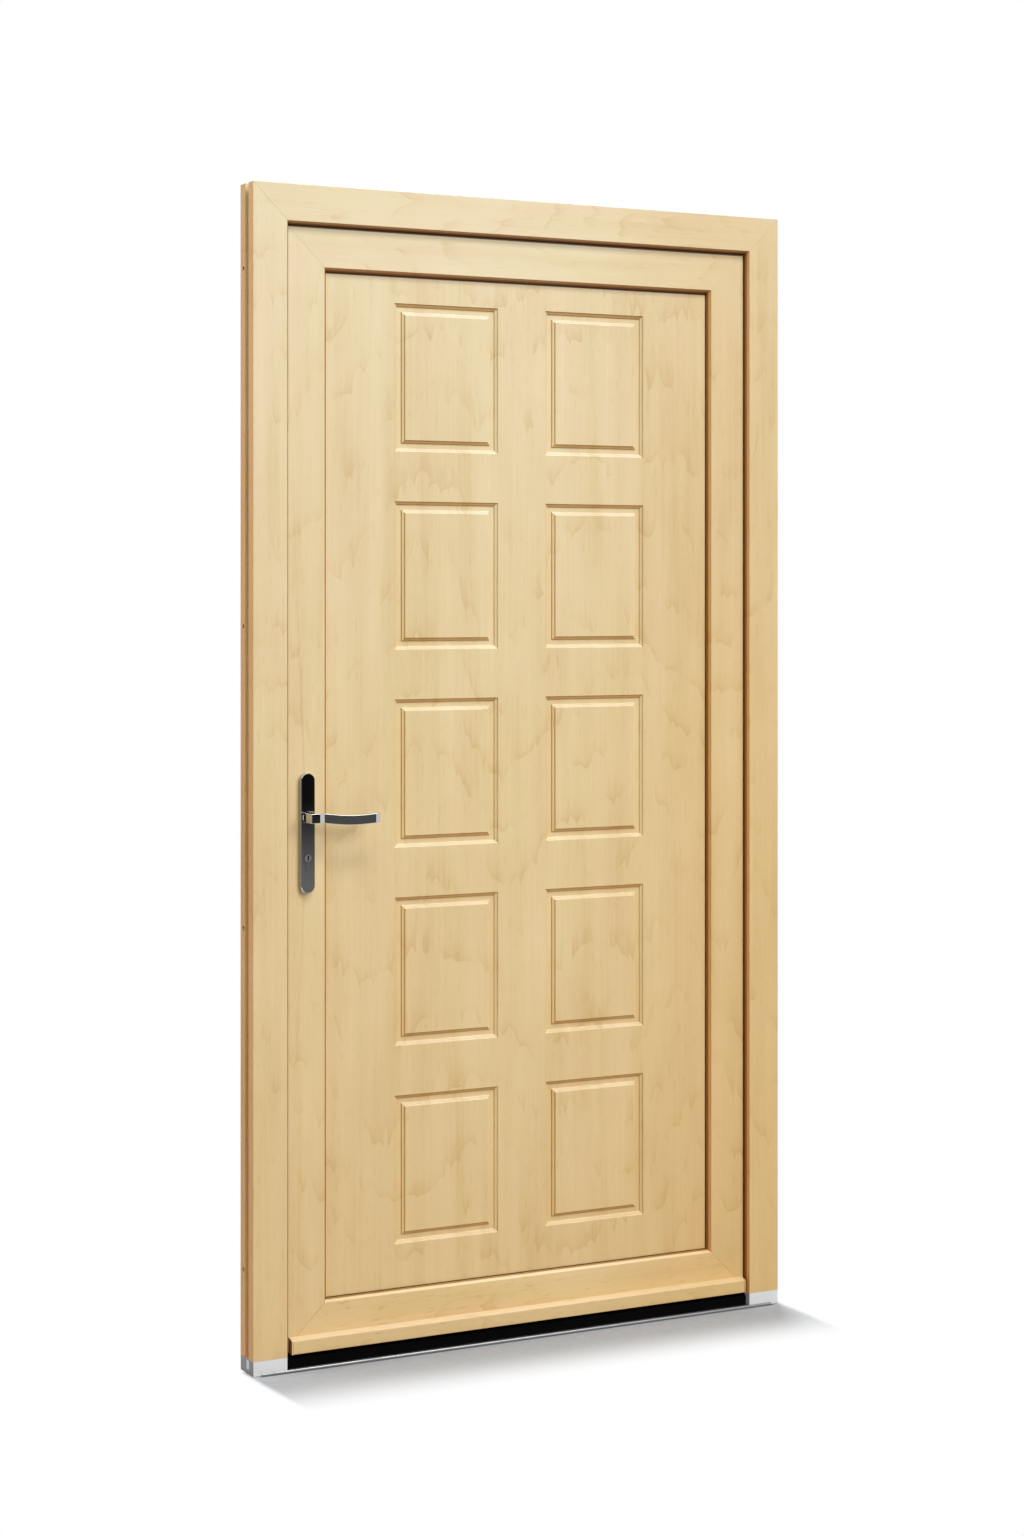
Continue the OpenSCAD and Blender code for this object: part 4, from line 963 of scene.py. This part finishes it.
@dataclass
class Handle:
    """Handle plates and the two levers."""

    finishes: Finishes
    axis_x: float = -0.443
    axis_z: float = 0.978
    outside_face: float = -0.025
    inside_face: float = 0.061
    seat: float = 0.0004
    neck: float = 0.017
    grip_height: float = 0.017
    grip_depth: float = 0.010
    stand: float = 0.033
    band_run: float = 0.009
    band_back: float = 0.0014
    tip_run: float = 0.004
    tip_back: float = 0.0022
    length: float = 0.1285
    stations: int = 14
    sag: float = 0.0036
    droop: float = 0.0028
    bow: float = 0.0015
    collar: float = 0.010
    collar_depth: float = 0.008
    collar_sink: float = 0.002
    collar_sides: int = 48
    rounding: float = 0.0038
    crisp: float = 0.0010
    sharp_angle: float = 50.0
    crease_span: Span = (5.0, 14.0)
    side_limit: float = 0.9
    upright_limit: float = 0.7

    def build(self) -> None:
        """Dress the plates and build the levers."""
        dress(("plate_outside", "plate_inside"), self.finishes.chrome)
        dress(("plate_screws",), self.finishes.steel)
        self.lever("lever_outside_grip", Turn.OUTSIDE, "lever_outside")
        self.lever("lever_inside_grip", Turn.INSIDE, "lever_inside")

    def lever(self, name: str, turn: Turn, node: str) -> None:
        """Build one lever as a square neck with a bowed grip along the leaf.

        Args:
            name: Name of the piece.
            turn: Side of the leaf.
            node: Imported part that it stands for.
        """
        bm = bmesh.new()
        face_y = self.outside_face if turn is Turn.OUTSIDE else self.inside_face
        out = turn.value
        start = (self.axis_x, face_y + out * self.seat, self.axis_z)
        bmesh.ops.create_grid(bm, x_segments=1, y_segments=1, size=HALF)
        bmesh.ops.scale(bm, vec=(self.neck, self.grip_height, 1.0), verts=bm.verts[:])
        bmesh.ops.rotate(bm, matrix=Matrix.Rotation(QUARTER_TURN, 3, "X"), verts=bm.verts[:])
        bmesh.ops.translate(bm, vec=start, verts=bm.verts[:])
        self.grip(bm, self.neck_side(bm, bm.faces[:][0], out), out)
        self.round_edges(bm)
        ring = Matrix.Translation((self.axis_x, face_y - out * self.collar_sink, self.axis_z))
        ring = ring @ Matrix.Rotation(QUARTER_TURN, 4, "X")
        bmesh.ops.create_cone(bm, cap_ends=True, segments=self.collar_sides, radius1=self.collar,
                              radius2=self.collar, depth=self.collar_depth, matrix=ring)
        for face in bm.faces:
            face.smooth = True
        piece = finished(bm, name, "handle", self.finishes.chrome)
        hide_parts(node)
        weighted = piece.modifiers.new("even_shade", "WEIGHTED_NORMAL")
        weighted.keep_sharp = True

    def neck_side(self, bm: Mesh, face: Face, out: float) -> Face:
        """Push the neck out from the plate.

        Args:
            bm: The mesh being built.
            face: Face of the neck at the plate.
            out: Direction away from the leaf along Y.

        Returns:
            The face of the neck's end that the grip leaves from.
        """
        face = self.push(bm, face, Vector((0.0, out * (self.stand - self.grip_depth), 0.0)))
        self.push(bm, face, Vector((0.0, out * self.grip_depth, 0.0)))
        bmesh.ops.recalc_face_normals(bm, faces=bm.faces[:])
        sides = [f for f in bm.faces if f.normal.x > self.side_limit]
        return max(sides, key=lambda f: out * f.calc_center_median().y)

    def grip(self, bm: Mesh, face: Face, out: float) -> None:
        """Push the grip along the leaf, with a slanted band at its start and a slanted tip.

        Args:
            bm: The mesh being built.
            face: Face of the neck's end that the grip leaves from.
            out: Direction away from the leaf along Y.
        """
        face = self.push(bm, face, Vector((self.band_run, -out * self.band_back, 0.0)))
        run = self.length - self.neck / 2.0 - self.band_run - self.tip_run
        for i in range(self.stations):
            before = i / self.stations
            after = (i + 1) / self.stations
            drop = self.sag * (math.sin(math.pi * before) - math.sin(math.pi * after))
            drop -= self.droop / self.stations
            lean = self.bow * (before ** 2 - after ** 2) * out
            face = self.push(bm, face, Vector((run / self.stations, lean, drop)))
        face = self.push(bm, face, Vector((self.tip_run, -out * self.tip_back / 2.0, 0.0)))
        middle = face.calc_center_median()
        for vert in face.verts:
            vert.co.y = middle.y + (vert.co.y - middle.y) * (1.0 - self.tip_back / self.grip_depth)

    def sharp_edges(self, bm: Mesh) -> list[bmesh.types.BMEdge]:
        """Return the edges between two faces that meet at a sharp angle."""
        limit = math.radians(self.sharp_angle)
        return [e for e in bm.edges if len(e.link_faces) == 2 and e.calc_face_angle(0.0) > limit]

    def round_edges(self, bm: Mesh) -> None:
        """Round the upright edges narrowly and the long ones widely, and keep fine creases.

        Args:
            bm: The mesh of the lever.
        """
        upright = [e for e in self.sharp_edges(bm)
                   if abs((e.verts[0].co - e.verts[1].co).normalized().z) > self.upright_limit]
        bmesh.ops.bevel(bm, geom=upright, offset=self.crisp, offset_type="OFFSET", segments=2,
                        profile=0.5, affect="EDGES", material=-1, clamp_overlap=True)
        bmesh.ops.bevel(bm, geom=self.sharp_edges(bm), offset=self.rounding, offset_type="OFFSET",
                        segments=5, profile=0.5, affect="EDGES", material=-1, clamp_overlap=True)
        low, high = (math.radians(angle) for angle in self.crease_span)
        for edge in bm.edges:
            if low < edge.calc_face_angle(0.0) < high:
                edge.smooth = False

    def push(self, bm: Mesh, face: Face, step: Vector) -> Face:
        """Extrude a face by a step.

        Args:
            bm: The mesh being built.
            face: The face to extrude.
            step: How far it goes.

        Returns:
            The new end face.
        """
        made = bmesh.ops.extrude_face_region(bm, geom=[face])["geom"]
        end = next(item for item in made if isinstance(item, Face))
        bmesh.ops.translate(bm, vec=step, verts=end.verts[:])
        if face.is_valid:
            bmesh.ops.delete(bm, geom=[face], context="FACES_ONLY")
        return end


@dataclass
class Hinges:
    """Hinge halves, pins and their screws."""

    finishes: Finishes
    edge: float = 0.0007

    def build(self) -> None:
        """Dress the hinges."""
        dress(("hinge_frame_halves", "hinge_leaf_halves", "hinge_pins"), self.finishes.steel, self.edge)
        dress(("hinge_frame_screws", "hinge_leaf_screws"), self.finishes.steel)


@dataclass(frozen=True)
class Lamp:
    """A soft lamp that faces a point."""

    name: str
    place: Point
    aim: Point
    wide: float
    high: float
    power: float

    def build(self) -> None:
        """Add the lamp to the scene."""
        lamp = bpy.data.lights.new(self.name, "AREA")
        lamp.shape = "RECTANGLE"
        lamp.size = self.wide
        lamp.size_y = self.high
        lamp.energy = self.power
        box = bpy.data.objects.new(self.name, lamp)
        bpy.context.scene.collection.objects.link(box)
        box.location = self.place
        back = Vector(self.place) - Vector(self.aim)
        box.rotation_euler = back.to_track_quat("Z", "Y").to_euler()


@dataclass(frozen=True)
class Card:
    """A card in front of the door, which only mirrors in polished metal."""

    name: str
    place: Point
    turn: float
    wide: float
    high: float
    low_grey: float
    high_grey: float
    blend: Span = (0.50, 0.80)

    def build(self) -> None:
        """Stand the card and let it glow by itself."""
        bm = bmesh.new()
        bmesh.ops.create_grid(bm, x_segments=1, y_segments=1, size=HALF)
        bmesh.ops.scale(bm, vec=(self.wide, self.high, 1.0), verts=bm.verts[:])
        bmesh.ops.rotate(bm, matrix=Matrix.Rotation(QUARTER_TURN, 3, "X"), verts=bm.verts[:])
        bmesh.ops.rotate(bm, matrix=Matrix.Rotation(math.radians(self.turn), 3, "Z"), verts=bm.verts[:])
        bmesh.ops.translate(bm, vec=self.place, verts=bm.verts[:])
        card = linked(bm, self.name)
        w = Wiring(self.name)
        _, _, z = w.place()
        greys = [(0.0, (self.low_grey,) * 3), (1.0, (self.high_grey,) * 3)]
        glow = w.add("Emission")
        glow.inputs["Strength"].default_value = 1.0
        w.join(w.ramp(w.between(z, self.blend), greys), glow.inputs["Color"])
        w.join(glow.outputs["Emission"], w.output.inputs["Surface"])
        card.data.materials.append(w.material)
        card.visible_camera = False
        card.visible_diffuse = False
        card.visible_shadow = False


@dataclass
class Studio:
    """Floor, light and camera."""

    camera_place: Point = (-2.508, -4.634, 1.379)
    camera_turn: float = 28.24
    lens: float = 66.55
    sensor: float = 36.0
    shift_up: float = -0.1149
    sky_strength: float = 0.19
    sky_colour: Colour = (1.0, 0.85, 0.64)
    lamps: tuple[Lamp, ...] = (
        Lamp("key_light", (5.0, -11.8, 8.5), (0.0, 0.0, 1.05), 8.0, 8.0, 1365.0),
        Lamp("top_light", (-0.4, -2.6, 5.2), (0.0, -0.2, 1.05), 2.4, 1.0, 101.0),
        Lamp("side_light", (-3.2, 0.6, 3.3), (-0.55, 0.0, 1.35), 2.0, 2.4, 54.0),
        Lamp("back_light", (3.0, 9.0, 8.0), (0.0, 0.0, 1.05), 5.0, 5.0, 1250.0),
    )
    cards: tuple[Card, ...] = (
        Card("dark_card", (0.80, -2.75, 1.05), 24.0, 1.1, 1.5, 0.235, 0.007),
        Card("grip_card", (0.99, -2.62, 1.05), 24.0, 0.44, 1.5, 0.125, 0.115),
        Card("grey_card", (-2.30, -1.02, 1.05), -62.0, 0.9, 2.0, 0.30, 0.24),
        Card("camera_card", (-1.38, -1.80, 1.05), -28.0, 0.8, 1.4, 0.008, 0.008),
    )
    floor_size: float = 30.0
    floor_drop: float = 0.0004
    floor_dark: Colour = (0.43, 0.46, 0.51)
    floor_pale: Colour = (0.47, 0.50, 0.55)
    floor_grain: float = 60.0
    floor_span: Span = (0.3, 0.7)
    floor_roughness: float = 0.9
    floor_gloss: float = 0.1
    fade_half_width: float = 0.54
    fade_front: float = -0.02
    fade_span: Span = (0.07, 0.26)
    fade_squeeze: float = 12.0
    contact_run: float = 0.007
    contact_blend: float = 0.003
    contact_shade: Colour = (0.30, 0.30, 0.30)
    contact_ends: Span = (0.545, 0.530)

    def build(self) -> None:
        """Set up the floor, the light and the camera."""
        scene = bpy.context.scene
        scene.view_settings.view_transform = "Standard"
        self.floor()
        self.sky()
        for stand in (*self.lamps, *self.cards):
            stand.build()
        self.camera()

    def floor(self) -> None:
        """Lay a pale floor that fades to white away from the door."""
        bm = bmesh.new()
        bmesh.ops.create_grid(bm, x_segments=2, y_segments=2, size=self.floor_size / 2.0)
        bmesh.ops.translate(bm, vec=(0.0, 0.0, -self.floor_drop), verts=bm.verts[:])
        floor = linked(bm, "floor")
        w = Wiring("pale_floor")
        x, y, _ = w.place()
        grain = w.noise(w.vector(x, y, 0.0), self.floor_grain)
        low, high = self.floor_span
        colour = w.ramp(grain, [(low, self.floor_dark), (high, self.floor_pale)])
        # Painted shadow along the threshold's foot, where it meets the floor
        colour = w.tint(self.contact_shadow(w, x, y), colour, self.contact_shade)
        w.join(colour, w.shader.inputs["Base Color"])
        w.shader.inputs["Roughness"].default_value = self.floor_roughness
        w.shader.inputs["Specular IOR Level"].default_value = self.floor_gloss
        white = w.add("Emission")
        white.inputs["Strength"].default_value = 1.0
        mix = w.add("MixShader")
        faded = w.between(self.away(w, x, y), self.fade_span)
        w.join(w.times(self.seen(w), faded), mix.inputs[0])
        w.join(w.shader.outputs["BSDF"], mix.inputs[1])
        w.join(white.outputs["Emission"], mix.inputs[2])
        w.join(mix.outputs[0], w.output.inputs["Surface"])
        floor.data.materials.append(w.material)

    def away(self, w: Wiring, x: Socket, y: Socket) -> Socket:
        """Measure how far the floor is from the door, with sides and back squeezed.

        Args:
            w: Nodes of the floor.
            x: Place across the door in metres.
            y: Place through the door in metres.

        Returns:
            The distance's socket.
        """
        out_x = w.larger(w.minus(w.size(x), self.fade_half_width), 0.0)
        out_x = w.times(out_x, self.fade_squeeze)
        behind = w.times(w.larger(y, 0.0), self.fade_squeeze)
        out_y = w.plus(w.larger(w.minus(self.fade_front, y), 0.0), behind)
        return w.calculate("SQRT", w.plus(w.times(out_x, out_x), w.times(out_y, out_y)))

    def contact_shadow(self, w: Wiring, x: Socket, y: Socket) -> Socket:
        """Find the painted shadow, a thin dark line where the threshold meets the floor.

        Args:
            w: Nodes of the floor.
            x: Place across the door in metres.
            y: Place through the door in metres.

        Returns:
            One along the threshold's front, and zero elsewhere.
        """
        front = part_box("threshold_sill")[0][1]
        run = (self.contact_run, self.contact_run - self.contact_blend)
        close = w.between(w.size(w.minus(y, front)), run)
        return w.times(close, w.between(w.size(x), self.contact_ends))

    def seen(self, w: Wiring) -> Socket:
        """Find the rays that see the floor, and not those that only carry light.

        Args:
            w: Nodes of the floor.

        Returns:
            One for rays from the camera, mirrors and glass, and zero for the rest.
        """
        path = w.add("LightPath")
        seen = w.larger(path.outputs["Is Camera Ray"], path.outputs["Is Glossy Ray"])
        return w.larger(seen, path.outputs["Is Transmission Ray"])

    def sky(self) -> None:
        """Light the scene evenly, with a white background."""
        world = bpy.data.worlds.new("studio")
        bpy.context.scene.world = world
        world.use_nodes = True
        tree = world.node_tree
        tree.nodes.clear()
        add = tree.nodes.new
        link = tree.links.new
        output = add("ShaderNodeOutputWorld")
        path = add("ShaderNodeLightPath")
        glossy = add("ShaderNodeMath")
        glossy.operation = "MAXIMUM"
        through = add("ShaderNodeMath")
        through.operation = "MAXIMUM"
        light = add("ShaderNodeBackground")
        light.inputs["Strength"].default_value = self.sky_strength
        light.inputs["Color"].default_value = opaque(self.sky_colour)
        white = add("ShaderNodeBackground")
        white.inputs["Strength"].default_value = 1.0
        white.inputs["Color"].default_value = opaque(WHITE)
        mix = add("ShaderNodeMixShader")
        link(path.outputs["Is Camera Ray"], glossy.inputs[0])
        link(path.outputs["Is Glossy Ray"], glossy.inputs[1])
        link(glossy.outputs[0], through.inputs[0])
        link(path.outputs["Is Transmission Ray"], through.inputs[1])
        link(through.outputs[0], mix.inputs[0])
        link(light.outputs[0], mix.inputs[1])
        link(white.outputs[0], mix.inputs[2])
        link(mix.outputs[0], output.inputs["Surface"])

    def camera(self) -> None:
        """Stand the camera where the photo was taken from."""
        data = bpy.data.cameras.new("camera")
        data.lens = self.lens
        data.sensor_width = self.sensor
        data.sensor_fit = "AUTO"
        data.shift_y = self.shift_up
        camera = bpy.data.objects.new("camera", data)
        bpy.context.scene.collection.objects.link(camera)
        camera.location = self.camera_place
        camera.rotation_euler = (QUARTER_TURN, 0.0, math.radians(-self.camera_turn))
        bpy.context.scene.camera = camera


def main() -> None:
    """Dress the door and set up the studio."""
    logging.basicConfig(level=logging.INFO, format="%(message)s")
    finishes = Finishes()
    for part in (OuterFrame(finishes), Threshold(finishes), Leaf(finishes), Lock(finishes),
                 Handle(finishes), Hinges(finishes), Studio()):
        part.build()
        LOG.info("%s done", type(part).__name__)


if __name__ == "__main__":
    main()
